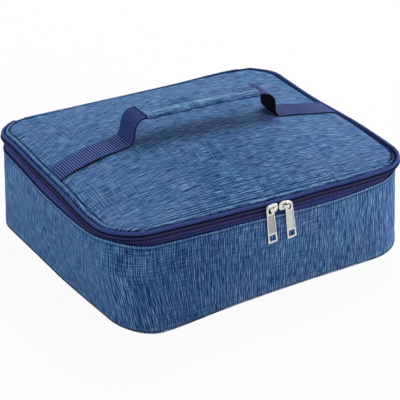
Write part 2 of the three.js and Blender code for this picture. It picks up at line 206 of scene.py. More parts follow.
def heather_cloth():
    """Linen-look polyester: slubs along the warp and across it, whose balance and hue drift."""
    shader = Shader("heather_cloth")
    weave = shader.weave()
    split = shader.add("SeparateXYZ", {0: weave})

    def streaks(along, across, detail=0):
        """Noise stretched along the warp and across it."""
        return shader.noise(shader.scaled(weave, (along, across, 0)), detail)

    def yarns(place, bent):
        """Regular yarns that the slubs push out of line."""
        pushed = shader.maths("MULTIPLY", bent, YARN_BEND)
        return shader.maths("SINE", shader.maths("MULTIPLY_ADD", place, YARN_TURN, pushed))

    slubs = streaks(0.04, 1.15)
    fine = streaks(0.12, 2.2)
    weft = streaks(1.25, 0.06)
    moved = {0: shader.scaled(weave, (0.011, 0.009, 0)), 1: DRIFT_START}
    drift = shader.noise(shader.add("VectorMath", moved, operation="ADD").outputs[0], 1)
    balance = shader.maths("MULTIPLY_ADD", drift, 3.0, -1.0)
    balance = shader.add("Clamp", {"Value": balance, "Min": 0.1, "Max": 1.3}).outputs[0]
    along = shader.maths("MULTIPLY_ADD", balance, -0.55, 0.95)
    across = shader.maths("MULTIPLY_ADD", balance, 0.7, 0.0)
    ends = yarns(split.outputs[1], streaks(0.05, 0.3))
    picks = shader.maths("MULTIPLY", yarns(split.outputs[0], streaks(0.3, 0.05)), balance)
    # Each layer moves the tone up and down by its own share
    tone = 0.5
    for layer, share in ((slubs, along), (weft, across), (fine, 1.4), (streaks(0.8, 1.4), 0.45)):
        tone = shader.maths("MULTIPLY_ADD", shader.maths("SUBTRACT", layer, 0.5), share, tone)
    mottle = shader.maths("SUBTRACT", streaks(0.03, 0.045, 2), 0.5)
    # The tone_shift attribute brings painted light set on each piece: crests painted paler, grooves,
    # creases and undersides painted darker as painted shade, and the walls' painted fall-off of the lamps;
    # on the sleeve's ends it also holds the pale frayed edge
    painted_light_and_tone = shader.add("Attribute", attribute_name="tone_shift").outputs["Fac"]
    for layer, share in ((ends, 0.22), (picks, 0.2), (mottle, 0.12), (painted_light_and_tone, 0.3)):
        tone = shader.maths("MULTIPLY_ADD", layer, share, tone)
    shares = (0.0, 0.16, 0.36, 0.52, 0.64, 0.78, 0.94)
    teal = [(3, 12, 44), (7, 26, 76), (16, 50, 112), (41, 83, 138), (67, 114, 163), (104, 150, 194),
            (154, 192, 226)]
    violet = [(6, 10, 44), (12, 23, 76), (26, 46, 112), (51, 79, 138), (78, 108, 162), (116, 146, 194),
              (164, 188, 224)]
    level = shader.maths("MULTIPLY_ADD", tone, 0.61, 0.312)
    cool = shader.ramp(level, [(share, colour(*tint)) for share, tint in zip(shares, teal)])
    warm = shader.ramp(level, [(share, colour(*tint)) for share, tint in zip(shares, violet)])
    hue = shader.noise(shader.scaled(weave, (0.02, 0.025, 0)), 2, 0.5)
    hue = shader.add("Clamp", {"Value": shader.maths("MULTIPLY_ADD", hue, 2.6, -0.95)}).outputs[0]
    tint = shader.blend(hue, cool, warm)
    threads = shader.scaled(weave, (2 * math.pi / 0.62,) * 3)
    split = shader.add("SeparateXYZ", {0: threads})
    warp = shader.maths("SINE", split.outputs[1])
    over = shader.maths("SINE", split.outputs[0])
    height = shader.maths("MULTIPLY_ADD", shader.maths("MULTIPLY", warp, over), 0.3, slubs)
    height = shader.maths("MULTIPLY_ADD", fine, 0.6, height)
    return shader.finish(tint, height, 0.22, roughness=0.92, sheen_weight=0.02, sheen_roughness=0.5,
                         specular_ior_level=0.15)


def plain_cloth(name, dark, light, pitch, across=0.0, rough=0.8, depth=0.12, sheen=0.03):
    """Plain woven trim: ribs at a pitch along the piece, and at another across it if given."""
    shader = Shader(name)
    weave = shader.weave()
    split = shader.add("SeparateXYZ", {0: weave})
    rib = shader.maths("SINE", shader.maths("MULTIPLY", split.outputs[0], 2 * math.pi / pitch))
    height = rib
    if across:
        thread = shader.maths("SINE", shader.maths("MULTIPLY", split.outputs[1], 2 * math.pi / across))
        height = shader.maths("MULTIPLY", rib, thread)
    tone_shift = shader.noise(shader.scaled(weave, (0.35, 0.9, 1)), 3, 0.6)
    tone = shader.maths("MULTIPLY_ADD", height, 0.12, tone_shift)
    tint = shader.ramp(tone, [(0.3, dark), (0.72, light)])
    return shader.finish(tint, height, depth, roughness=rough, sheen_weight=sheen, sheen_roughness=0.5,
                         specular_ior_level=0.1)


def ribbed_webbing():
    """Nylon webbing: the ribs are in the mesh, and the yarns over them are here, with each rib painted
    darker in its groove and paler on its crown as painted shade and light.
    """
    shader = Shader("navy_webbing")
    weave = shader.weave()
    split = shader.add("SeparateXYZ", {0: weave})
    rib = shader.maths("SINE", shader.maths("MULTIPLY", split.outputs[0], 2 * math.pi / RIB_PITCH))
    yarn = shader.maths("SINE", shader.maths("MULTIPLY", split.outputs[1], 2 * math.pi / 0.8))
    tone_shift = shader.noise(shader.scaled(weave, (0.5, 0.8, 1)), 3, 0.6)
    rib_shade_mask = shader.add("Attribute", attribute_name="tone_shift").outputs["Fac"]
    # Painted shade: the ribs are painted darker in their grooves, most where the webbing lies flat
    share = shader.maths("MULTIPLY_ADD", rib_shade_mask, 0.55, 0.02)
    tone = shader.maths("MULTIPLY_ADD", rib, share, tone_shift)
    tint = shader.ramp(tone, [(0.1, colour(9, 12, 54)), (0.5, colour(46, 58, 114)),
                              (0.92, colour(98, 124, 190))])
    return shader.finish(tint, yarn, 0.08, roughness=0.75, sheen_weight=0.02, sheen_roughness=0.4,
                         specular_ior_level=0.1)


def foil_liner():
    """Aluminised sheet, crinkled."""
    shader = Shader("foil_liner")
    crease = shader.noise(shader.scaled(shader.place(), (0.09, 0.09, 0.09)), 5, 0.65)
    fine = shader.noise(shader.scaled(shader.place(), (0.5, 0.5, 0.5)), 3, 0.6)
    tint = shader.ramp(fine, [(0.3, colour(128, 132, 138)), (0.7, colour(158, 162, 168))])
    height = shader.maths("MULTIPLY_ADD", fine, 0.25, crease)
    return shader.finish(tint, height, 1.6, roughness=0.4, metallic=0.75)


def closed_foam():
    shader = Shader("closed_foam")
    cells = shader.add("TexVoronoi", {"Vector": shader.place(), "Scale": 0.8}).outputs["Distance"]
    tint = shader.ramp(cells, [(0.1, colour(206, 208, 208)), (0.8, colour(238, 239, 238))])
    return shader.finish(tint, cells, 0.2, roughness=0.9)


def board_plastic():
    shader = Shader("board_plastic")
    grain = shader.noise(shader.scaled(shader.place(), (0.6, 0.6, 0.6)), 3, 0.6)
    tint = shader.ramp(grain, [(0.3, colour(120, 122, 125)), (0.7, colour(142, 144, 147))])
    return shader.finish(tint, grain, 0.1, roughness=0.6)


def nylon_coil():
    shader = Shader("nylon_coil")
    grain = shader.noise(shader.scaled(shader.place(), (1.5, 1.5, 1.5)), 2, 0.5)
    tint = shader.ramp(grain, [(0.3, colour(30, 26, 46)), (0.7, colour(58, 50, 72))])
    return shader.finish(tint, grain, 0.05, roughness=0.38)


def nickel(name, dull, bright, rough):
    """Tumbled nickel plate: fine scratches and slightly duller patches."""
    shader = Shader(name)
    place = shader.place()
    scratches = shader.noise(shader.scaled(place, (5.0, 5.0, 0.6)), 3, 0.6)
    patches = shader.noise(shader.scaled(place, (0.3, 0.3, 0.3)), 2, 0.5)
    tint = shader.ramp(patches, [(0.3, dull), (0.7, bright)])
    spread = shader.maths("MULTIPLY_ADD", patches, 0.15, rough)
    return shader.finish(tint, scratches, 0.012, roughness=spread, metallic=1.0)


def sewing_thread():
    shader = Shader("sewing_thread")
    twist = shader.noise(shader.scaled(shader.place(), (3.0, 3.0, 3.0)), 2, 0.5)
    tint = shader.ramp(twist, [(0.3, colour(38, 52, 92)), (0.7, colour(70, 90, 138))])
    return shader.finish(tint, twist, 0.05, roughness=0.6, sheen_weight=0.2)


HEATHER = heather_cloth()
PIPING_CLOTH = plain_cloth("piping_cloth", colour(40, 56, 120), colour(82, 106, 170), 0.7, 0.7)
TAPE_CLOTH = plain_cloth("tape_cloth", colour(34, 44, 104), colour(66, 80, 146), 1.5, 0.9)
COIL_CLOTH = plain_cloth("coil_cloth", colour(38, 38, 90), colour(76, 76, 132), TOOTH_PITCH, 0.0, 0.7, 0.3)
# Near-black rows of the zip tapes: painted shade under the piping and in the creases
SEAM_SHADE_CLOTH = plain_cloth("seam_painted_shade", colour(8, 13, 40), colour(18, 26, 62), 1.5, 0.9)
BINDING_CLOTH = plain_cloth("binding_cloth", colour(30, 38, 78), colour(52, 64, 110), 0.9, 0.9)
WEBBING_YARN = ribbed_webbing()
# The webbing's underside, painted near black: painted shade on its inner face
WEBBING_BACK_SHADE = plain_cloth("webbing_back_painted_shade", colour(3, 3, 12), colour(10, 10, 28), RIB_PITCH, 0.8, sheen=0.0)
FOIL = foil_liner()
FOAM = closed_foam()
BOARD = board_plastic()
COIL = nylon_coil()
NICKEL = nickel("satin_nickel", colour(204, 205, 199), colour(232, 233, 227), 0.18)
# The pulls' sunk middles, painted greyer than the borders: painted shade and reflection, the left one
# painted darker and the right one paler
NICKEL_RECESS_SHADE = nickel("recess_painted_shade", colour(150, 154, 149), colour(172, 176, 170), 0.32)
NICKEL_RECESS_LIGHT = nickel("recess_painted_light", colour(186, 190, 185), colour(204, 208, 202), 0.3)
# Near-black metal for the pulls' side faces and the hollow behind each eye: painted shade
METAL_SHADE = nickel("metal_painted_shade", colour(26, 27, 34), colour(44, 45, 52), 0.5)
SEWING = sewing_thread()


# Shapes

def smooth(value):
    clipped = np.clip(value, 0.0, 1.0)
    return clipped * clipped * (3 - 2 * clipped)


def ripple(place, seed, length):
    """A smooth field of about -1 to 1 that varies over a length, the same each run."""
    rng = np.random.default_rng(seed)
    total = 0.0
    for _ in range(5):
        way = rng.normal(size=place.shape[-1])
        way *= rng.uniform(0.6, 1.6) / (np.linalg.norm(way) * length)
        total = total + np.sin(2 * math.pi * (place @ way) + rng.uniform(0, 2 * math.pi))
    return total / 3.2


FLAT_X, FLAT_Y = HALF_X - CORNER, HALF_Y - CORNER
QUARTER = CORNER * math.pi / 2
MARKS = np.cumsum([0, FLAT_X, QUARTER, 2 * FLAT_Y, QUARTER, FLAT_X])
ROUND = MARKS[-1]
ZIP_END = MARKS[-2]


def along_outline(x, y):
    """The distance along the outline of a point near it, from the middle of the front."""
    over_x, over_y = np.abs(x) - FLAT_X, np.abs(y) - FLAT_Y
    turn = CORNER * np.arctan2(np.maximum(over_x, 0), np.maximum(over_y, 1e-9))
    front = np.minimum(np.abs(x), FLAT_X) + turn
    back = ROUND - front
    side = MARKS[2] + FLAT_Y + y
    distance = np.where(over_y <= 0, side, np.where(y < 0, front, back))
    return np.where(x < 0, -distance, distance)


def shift_at(distance, places):
    """A sideways shift read between listed places along the outline, its turns eased."""
    key, across, back = np.array(places, float).T
    shift = 0.0
    for step in (-16, -8, 0, 8, 16):
        near = distance + step
        shift = shift + np.stack([np.interp(near, key, across), np.interp(near, key, back)], axis=-1) / 5
    return shift


def creep(place):
    """The soft body has crept out of square: it shifts sideways at the floor and under its hem."""
    x, y, z = place[..., 0], place[..., 1], place[..., 2]
    distance = along_outline(x, y)
    over = np.hypot(np.maximum(np.abs(x) - FLAT_X, 0), np.maximum(np.abs(y) - FLAT_Y, 0))
    edge = smooth(over / CORNER)
    floor = shift_at(distance, FLOOR_SHIFT) * (np.clip(1 - z / 58, 0, 1) * edge)[..., None]
    # Along the sliders' run the zip itself stays straight
    top = 79 + 5 * smooth((np.abs(distance) - 117) / 10)
    below_zip = np.clip(z / 45, 0, 1) * (1 - smooth((z - top) / 6)) * edge
    return floor + shift_at(distance, HEM_SHIFT) * below_zip[..., None]


def settle(points):
    """The give of a soft bag: every soft piece moves by one smooth field, so none of them part."""
    place = np.asarray(points, float)
    drift = np.stack([ripple(place, seed, 130.0) for seed in (3, 7, 11)], axis=-1)
    drift *= np.array([0.9, 0.9, 0.8])
    # Still on the floor, round the metal, and at the hinge
    height = smooth((place[..., 2] - 2) / 30)
    metal = smooth((np.hypot(place[..., 0] - 6, place[..., 1] + HALF_Y) - 18) / 30)
    hinge = smooth((HALF_Y - place[..., 1]) / 25)
    moved = place + drift * (height * metal * hinge)[..., None]
    moved[..., :2] += creep(place)
    return moved


def rim(distance, inset):
    """Points of the outline from above, moved in, and the ways out there."""
    distance, inset = np.broadcast_arrays(np.asarray(distance, float), np.asarray(inset, float))
    along = np.abs(distance)
    side = np.where(distance < 0, -1.0, 1.0)
    turn = np.interp(along, MARKS, [0, 0, math.pi / 2, math.pi / 2, math.pi, math.pi])
    centre_x = np.interp(along, [0, MARKS[1], MARKS[4], MARKS[5]], [0, FLAT_X, FLAT_X, 0])
    centre_y = np.interp(along, [MARKS[2], MARKS[3]], [-FLAT_Y, FLAT_Y])
    out = np.stack([side * np.sin(turn), -np.cos(turn)], axis=-1)
    centre = np.stack([side * centre_x, centre_y], axis=-1)
    return centre + out * (CORNER - inset)[..., None], out


def stations(end, step):
    """Distances along the outline out to an end on both sides, with the corners' ends among them."""
    found = [np.zeros(1)]
    for first, last in zip(MARKS[:-1], MARKS[1:]):
        last = min(last, end)
        if last > first:
            count = max(2, round((last - first) / step))
            found.append(np.linspace(first, last, count + 1)[1:])
    positive = np.concatenate(found)
    return np.concatenate([-positive[:0:-1], positive])


def make(name, points, faces, material, weave=None, tone_shift=None):
    """A mesh object from points in millimetres, settled with the rest of the bag."""
    mesh = bpy.data.meshes.new(name)
    mesh.from_pydata((settle(points) * MM).tolist(), [], faces)
    if weave is not None:
        attribute = mesh.attributes.new("weave", "FLOAT_VECTOR", "CORNER")
        attribute.data.foreach_set("vector", np.asarray(weave, np.float32).ravel())
    if tone_shift is not None:
        attribute = mesh.attributes.new("tone_shift", "FLOAT", "POINT")
        attribute.data.foreach_set("value", np.asarray(tone_shift, np.float32).ravel())
    mesh.materials.append(material)
    mesh.shade_smooth()
    mesh.update()
    made = bpy.data.objects.new(name, mesh)
    bpy.context.scene.collection.objects.link(made)
    return made


def mended(made, merge=0.0):
    """Faces turned outwards, and points that lie together made one."""
    work = bmesh.new()
    work.from_mesh(made.data)
    if merge:
        bmesh.ops.remove_doubles(work, verts=work.verts, dist=merge * MM)
    bmesh.ops.recalc_face_normals(work, faces=work.faces)
    work.to_mesh(made.data)
    work.free()
    return made


def full_turn(count):
    """Angles evenly round a circle."""
    return np.linspace(0, 2 * math.pi, count + 1)[:-1]


def grid_faces(count, across, loop_across, loop_along=False):
    rows = count if loop_along else count - 1
    columns = across if loop_across else across - 1
    row, column = np.meshgrid(np.arange(rows), np.arange(columns), indexing="ij")
    after, beside = (row + 1) % count, (column + 1) % across
    corners = [row * across + column, after * across + column, after * across + beside,
               row * across + beside]
    return np.stack(corners, axis=-1).reshape(-1, 4)


def grid_weave(along, across):
    """Weave coordinates of a grid's corners, in the order of its faces."""
    rows, columns = len(along) - 1, len(across) - 1
    row, column = np.meshgrid(np.arange(rows), np.arange(columns), indexing="ij")
    order = [(row, column), (row + 1, column), (row + 1, column + 1), (row, column + 1)]
    corners = [np.stack([along[r], across[c], np.zeros_like(along[r])], axis=-1) for r, c in order]
    return np.stack(corners, axis=2).reshape(-1, 3)


def swept(name, grid, material, warp="around", tone_shift=None):
    """A closed band of grid[station, corner of the profile], with its warp around it or along it."""
    count, across = grid.shape[:2]
    faces = grid_faces(count, across, True)
    steps = np.linalg.norm(np.diff(grid, axis=0), axis=-1).mean(axis=1)
    along = np.concatenate([[0.0], np.cumsum(steps)])
    profile = grid[count // 2]
    sides = np.linalg.norm(np.roll(profile, -1, axis=0) - profile, axis=-1)
    around = np.concatenate([[0.0], np.cumsum(sides)])
    weave = grid_weave(along, around)
    if warp == "around":
        weave = weave[:, [1, 0, 2]]
    caps = [list(range(across)), list(range((count - 1) * across, count * across))]
    cap_weave = np.zeros((2 * across, 3))
    if tone_shift is not None:
        tone_shift = np.broadcast_to(tone_shift, (count, across))
    weave = np.concatenate([weave, cap_weave])
    made = make(name, grid.reshape(-1, 3), faces.tolist() + caps, material, weave, tone_shift)
    return mended(made)


def band(name, end, step, profile, material, warp="around", shape=None, tone_shift=None):
    """A band round the front, the sides and the corners. profile is a list of (inset, z)."""
    distance = stations(end, step)
    inset, height = np.array(profile, float).T
    inset = np.tile(inset, (len(distance), 1))
    height = np.tile(height, (len(distance), 1))
    if shape:
        inset, height = shape(distance[:, None], inset, height)
    place, _ = rim(distance[:, None], inset)
    return swept(name, np.dstack([place, height]), material, warp, tone_shift=tone_shift)


def back_band(name, reach, step, profile, material, warp="around", shape=None):
    """A straight band along the back edge."""
    across = np.linspace(-reach, reach, round(2 * reach / step) + 1)
    inset, height = np.array(profile, float).T
    inset = np.tile(inset, (len(across), 1))
    height = np.tile(height, (len(across), 1))
    if shape:
        inset, height = shape(across[:, None], inset, height)
    x = np.broadcast_to(across[:, None], inset.shape)
    return swept(name, np.dstack([x, HALF_Y - inset, height]), material, warp)


def ring_band(name, step, profile, material, warp="around", drop=None):
    """A closed band all round the outline."""
    distance = stations(ROUND, step)[:-1]
    inset, height = np.array(profile, float).T
    place, _ = rim(distance[:, None], inset[None, :])
    height = np.tile(height, (len(distance), 1))
    if drop:
        height = height - drop(distance[:, None])
    grid = np.dstack([place, height])
    count, across = grid.shape[:2]
    faces = grid_faces(count, across, True, True)
    along = np.linspace(0, 2 * ROUND, count + 1)
    sides = np.linalg.norm(np.roll(grid[0], -1, axis=0) - grid[0], axis=-1)
    weave = grid_weave(along, np.concatenate([[0.0], np.cumsum(sides)]))
    if warp == "around":
        weave = weave[:, [1, 0, 2]]
    return mended(make(name, grid.reshape(-1, 3), faces.tolist(), material, weave))


def panel(name, insets, step, upper, lower, material, tone_shift=None):
    """A sheet over the outline, from rings near its edge and a plain grid inside the corners' centres."""
    distance = stations(ROUND, step)[:-1]
    insets = np.array([*insets, CORNER], float)
    place, _ = rim(distance[None, :], insets[:, None])
    rings = place.reshape(-1, 2)
    xs = distance[np.abs(distance) <= FLAT_X + 0.01]
    side = distance[(distance >= MARKS[2] - 0.01) & (distance <= MARKS[3] + 0.01)]
    ys = side - MARKS[2] - FLAT_Y
    inner = np.stack(np.meshgrid(xs, ys, indexing="ij"), axis=-1).reshape(-1, 2)
    flat = np.concatenate([rings, inner])
    gap = np.concatenate([np.repeat(insets, len(distance)), np.full(len(inner), CORNER)])
    top = np.column_stack([flat, upper(flat[:, 0], flat[:, 1], gap)])
    bottom = np.column_stack([flat, lower(flat[:, 0], flat[:, 1], gap)])
    ring_faces = grid_faces(len(insets), len(distance), True)
    inner_faces = grid_faces(len(xs), len(ys), False) + len(rings)
    faces = np.concatenate([ring_faces, inner_faces])
    edge = np.arange(len(distance))
    after = np.roll(edge, -1)
    walls = np.stack([edge, after, after + len(flat), edge + len(flat)], axis=-1)
    faces = np.concatenate([faces, faces + len(flat), walls])
    points = np.concatenate([top, bottom])
    weave = points[faces.ravel()] * (1, 1, 0)
    if tone_shift is not None:
        tone_shift = np.tile(tone_shift(flat[:, 0], flat[:, 1], gap), 2)
    made = make(name, points, faces.tolist(), material, weave, tone_shift=tone_shift)
    return mended(made, 0.01)


# How the rim hangs

def swell(distance, centre, reach):
    """A smooth rise of 1 at a distance along the outline, gone about two reaches away."""
    return np.exp(-(((distance - centre) / reach) ** 2))


def rim_drop(distance):
    """How far the soft rim hangs below its level. Less than nothing is a rim that stands above it."""
    front = 2.0 * swell(distance, 12, 62) + 0.6 * swell(distance, 95, 35)
    left = 2.7 * swell(distance, -192, 27) - 1.3 * swell(distance, -143, 24) - 1.5 * swell(distance, -352,
                                                                                           40)
    right = -2.5 * swell(distance, 214, 52) - 0.6 * swell(distance, 348, 34)
    back = -1.7 * smooth((np.abs(distance) - 378) / 30) - 1.6 * swell(distance, 434, 34)
    return front + left + right + back


def hem_depth(distance):
    """How deep the lid's hem is sewn in: little at the front, and more round the sides and the back."""
    along = np.abs(distance)
    left = 0.45 * smooth((-distance - 150) / 40) + 0.5 * smooth((-distance - 340) / 30)
    right = 0.95 * smooth((distance - 112) / 26)
    return 0.15 + left + right - 0.35 * smooth((along - 440) / 30)


# The lid's outer face

def lid_face(x, y, gap):
    """Height of the lid's face: a padded crown, higher to the left, a rolled edge and a stitched hem."""
    share_x = np.clip(np.abs(x) / (HALF_X - PANEL_INSET), 0, 1)
    share_y = np.clip(np.abs(y) / (HALF_Y - PANEL_INSET), 0, 1)
    rise = (1 - share_x ** CROWN_POWER) * (1 - share_y ** CROWN_POWER)
    rise = rise * (1 - CROWN_LEAN * x / HALF_X)
    inside = gap - PANEL_INSET
    distance = along_outline(x, y)
    groove = np.exp(-(((inside - LID_HEM) / 0.7) ** 2)) * (0.6 + 0.7 * hem_depth(distance))
    hem = 0.5 * np.sin(math.pi * np.clip((inside - 0.6) / (LID_HEM - 0.6), 0, 1))
    over_hinge = smooth((y - HALF_Y + 16) / 8) * smooth((FLAT_X + 4 - np.abs(x)) / 10)
    stand = smooth((distance - 108) / 34)
    roll = 2.1 * (1 - smooth(inside / 2.3)) * (1 - 0.9 * over_hinge) * (1 + 0.25 * stand)
    pillow = 0.9 * smooth((inside - LID_HEM) / 8)
    dents = 0.4 * ripple(np.stack([x, y], axis=-1), 21, 45.0) * smooth((inside - 5) / 20)
    drop = rim_drop(distance) * (1 - smooth(inside / 24))
    return LID_EDGE + LID_CROWN * rise - 0.8 * groove + hem - roll + pillow + dents - drop


def lid_under_face(x, y, gap):
    """The cloth's inner face, turned down at the edge behind the piping."""
    turned = LID_EDGE - 3.0 - rim_drop(along_outline(x, y)) + 60 * smooth((gap - PANEL_INSET - 0.9) / 0.5)
    return np.minimum(lid_face(x, y, gap) - CLOTH, turned)


def lid_over(x):
    """Height of the lid's face along the strap."""
    x = np.asarray(x, float)
    return lid_face(x, np.zeros_like(x), HALF_X - np.abs(x))


LID_RINGS = [PANEL_INSET + step for step in (0, 0.3, 0.65, 1.0, 1.4, 1.8, 2.3, 2.9, 3.5, 3.9, 4.3, 4.7,
                                             5.1, 5.8, 7, 9, 11.5, 15, 19, 24)]


def lid_painted_light(x, y, gap):
    """Painted light: paler along the hem's crest as a painted highlight, painted shade in its stitch line
    and at the edge, and a painted shadow of the grip on the lid's middle.
    """
    inside = gap - PANEL_INSET
    crest = np.exp(-(((inside - 2.4) / 0.9) ** 2))
    distance = along_outline(x, y)
    open_rim = smooth((distance - 108) / 34)
    line = np.exp(-(((inside - LID_HEM + 1.6 * open_rim) / (0.7 + 0.4 * open_rim)) ** 2))
    line = line * (0.5 + 2.8 * hem_depth(distance))
    # Painted shadow of the grip, on the lid in front of it
    darker = 0.4 * np.exp(-(((x + 5) / 60) ** 2) - ((y + 70) / 40) ** 2)
    return 0.7 * crest * (1 - open_rim) - line - 3.6 * smooth(1 - inside / 1.4) - darker


def puckers(distance, strength, seed=5):
    """Small gathers along a row of stitches."""
    place = np.stack([distance, 0 * distance], axis=-1)
    return strength * (0.6 * ripple(place, seed, 9.0) + 0.4 * ripple(place, seed + 1, 4.0))


def hem_rise(distance):
    """The body's hem rides up at the rounded corners and hangs between them."""
    corners = 6.4 * swell(distance, -150, 28) + 3.6 * swell(distance, 143, 28)
    corners = corners + 2.8 * swell(distance, 352, 26) - 2.6 * swell(distance, -352, 30)
    left = 4.0 * swell(distance, -268, 60)
    right = 2.4 * swell(distance, 258, 52)
    front = 2.8 * swell(distance, 45, 45) + 0.9 * swell(distance, -20, 40)
    return corners - left - right - front


def wall_shape(distance, inset, height):
    """The soft wall: a belly, long waves, gathers under the hem and a hem that rides up and hangs."""
    belly = 0.5 * np.sin(math.pi * np.clip(height / HEM_Z, 0, 1))
    waves = 0.8 * ripple(np.stack(np.broadcast_arrays(distance, 1.4 * height), axis=-1), 31, 75.0)
    waves = waves * smooth(height / 25) * smooth((HEM_Z + 4 - height) / 20)
    gathers = puckers(distance + 0 * height, 0.22) * np.exp(-(((height - HEM_Z + 3.2) / 5) ** 2))
    rise = hem_rise(distance) * smooth((height - 30) / (HEM_Z - 34))
    return inset - belly - waves - gathers, height + rise


def back_shape(across, inset, height):
    """The back's belly and waves, with its upper edge straight at the hinge."""
    belly = 0.5 * np.sin(math.pi * np.clip(height / HEM_Z, 0, 1))
    waves = 0.8 * ripple(np.stack(np.broadcast_arrays(across, 1.4 * height), axis=-1), 33, 75.0)
    waves = waves * smooth(height / 25) * smooth((HEM_Z + 4 - height) / 20)
    return inset - belly - waves, height


def rim_flare(distance):
    """How far the lid's edge stands out, at the right front corner."""
    return 1.6 * swell(distance, 172, 46)


def rim_shape(distance, inset, height):
    """The zip and the piping follow the rim, and the hem presses the lower tape in at the corners."""
    flare = rim_flare(distance) * smooth((height - CHAIN_Z) / 4)
    rib_shade_mask = 1.3 * smooth(hem_rise(distance) / 3) * smooth((CHAIN_Z + 1 - height) / 3)
    drop = rim_drop(distance) * smooth((height - HEM_Z + 7) / 5)
    # The tape's lower seam stays by the hem where the hem hangs
    hang = np.minimum(hem_rise(distance), 0) * smooth((LOWER_ROW[0] - 1.2 - height) / 1.2)
    return inset - flare + rib_shade_mask, height - drop + hang


def walls():
    rows = list(np.linspace(8, HEM_Z - 6.5, 18))
    outer = [(1.5, SEAM_Z + 0.6), (0.7, SEAM_Z + 0.5), (0.2, SEAM_Z + 1.1), (0, SEAM_Z + 2.4)]
    outer += [(0, row) for row in rows]
    stitched = [(-0.05, HEM_Z - 4.4), (0.1, HEM_Z - 3.4), (0.5, HEM_Z - 2.8), (0.1, HEM_Z - 2.2)]
    fold = [(-0.4, HEM_Z - 1.5), (-0.55, HEM_Z - 0.8), (-0.35, HEM_Z - 0.1), (0.15, HEM_Z + 0.2),
            (0.75, HEM_Z + 0.05), (0.95, HEM_Z - 0.6)]
    inner = [(CLOTH, row) for row in reversed(rows)] + [(1.6, SEAM_Z + 1.6)]
    # Painted light along the wall's profile: the seam at the floor, the hem's stitch line and the fold's
    # inner edge under the tape painted darker as painted shade, and the fold's crest painted paler as a
    # painted highlight
    tone_shift = [-1.0, -1.0, 0.2, 0.3] + [0.0] * len(rows) + [0.0, -0.4, -1.5, -0.4]
    tone_shift += [0.8, 0.9, 0.2, -0.9, -1.6, -1.6] + [0.0] * len(inner)
    # The wall is painted a little darker at the left of the front and paler towards the back of the left
    # side: painted shade and light of the lamps' fall-off
    distance = stations(ZIP_END, 2.4)[:, None]
    painted_falloff = 0.12 * swell(distance, -330, 60) - 0.5 * swell(distance, -85, 50) - 0.14 * swell(distance, 10, 60)
    profile = outer + stitched + fold + inner
    outer_wall = band("wall_cloth", ZIP_END, 2.4, profile, HEATHER, shape=wall_shape,
                      tone_shift=painted_falloff + np.array(tone_shift))
    plain = outer + [(0, HEM_Z - 3), (0, HEM_Z), (CLOTH, HEM_Z)] + inner
    back = back_band("back_cloth", FLAT_X, 3.2, plain, HEATHER, shape=back_shape)
    return outer_wall, back


def side_seam(side):
    """The back panel's upright seam: a narrow felled strip."""
    across = np.array([-1.6, -1.3, -0.4, 0.4, 1.3, 1.6])
    out = np.array([0.0, 0.5, 0.62, 0.62, 0.5, 0.0])
    heights = np.linspace(SEAM_Z + 1.5, HEM_Z - 0.4, 30)
    x = side * FLAT_X + across
    grid = np.zeros((len(heights), len(across), 3))
    grid[..., 0] = x
    grid[..., 1] = HALF_Y - 0.1 + out
    grid[..., 2] = heights[:, None]
    return swept("side_seam_left" if side < 0 else "side_seam_right", grid, HEATHER, warp="along")


def underside():
    def lower(x, y, gap):
        reach = np.clip(SEAM_Z - gap, 0, SEAM_Z)
        return SEAM_Z - np.sqrt(SEAM_Z ** 2 - reach ** 2)

    rings = (0.15, 0.4, 0.9, 1.6, 2.6, 5, 9, 15, 24)
    return panel("underside_cloth", rings, 6.0, lambda x, y, gap: lower(x, y, gap) + CLOTH, lower, HEATHER)


def hinge_cloth():
    """The cloth that rolls over the back edge, from the back panel to the lid."""
    reach = PANEL_INSET - 0.1
    bend = LID_EDGE - reach

    def rolled(radius, first, last):
        turns = np.linspace(first, last, 9)
        return [(reach - radius * math.cos(turn), bend + radius * math.sin(turn)) for turn in turns]

    arc = rolled(reach, 0, math.pi / 2)
    inner = rolled(reach - CLOTH, math.pi / 2, 0)
    rise = list(np.linspace(HEM_Z - 0.6, bend - 0.5, 6))
    profile = [(0, row) for row in rise] + arc + inner + [(CLOTH, row) for row in reversed(rise)]

    def shape(across, inset, height):
        lifted = -rim_drop(along_outline(across, HALF_Y - inset)) * smooth((height - bend) / reach)
        return inset, height - 0.4 * smooth((inset - 2) / 4) + lifted

    made = back_band("hinge_cloth", BACK_REACH, 4.0, profile, HEATHER, shape=shape)
    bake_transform(made)
    return made


def piping():
    """Rolled cloth cord, its ends drawn down into the seams at the back corners."""
    half = PIPING / 2
    profile = [(PIPING_INSET + half * math.cos(turn),
                PIPING_Z + half * math.sin(turn)) for turn in full_turn(14)]

    def shape(distance, inset, height):
        dive = smooth((np.abs(distance) - ZIP_END + 14) / 14)
        wander = puckers(distance + 0 * inset, 0.18, 41)
        inset, height = rim_shape(distance, inset, height)
        return inset + 2.2 * dive + wander, height - 4.2 * dive

    return band("piping", ZIP_END, 2.6, profile, PIPING_CLOTH, warp="along", shape=shape)


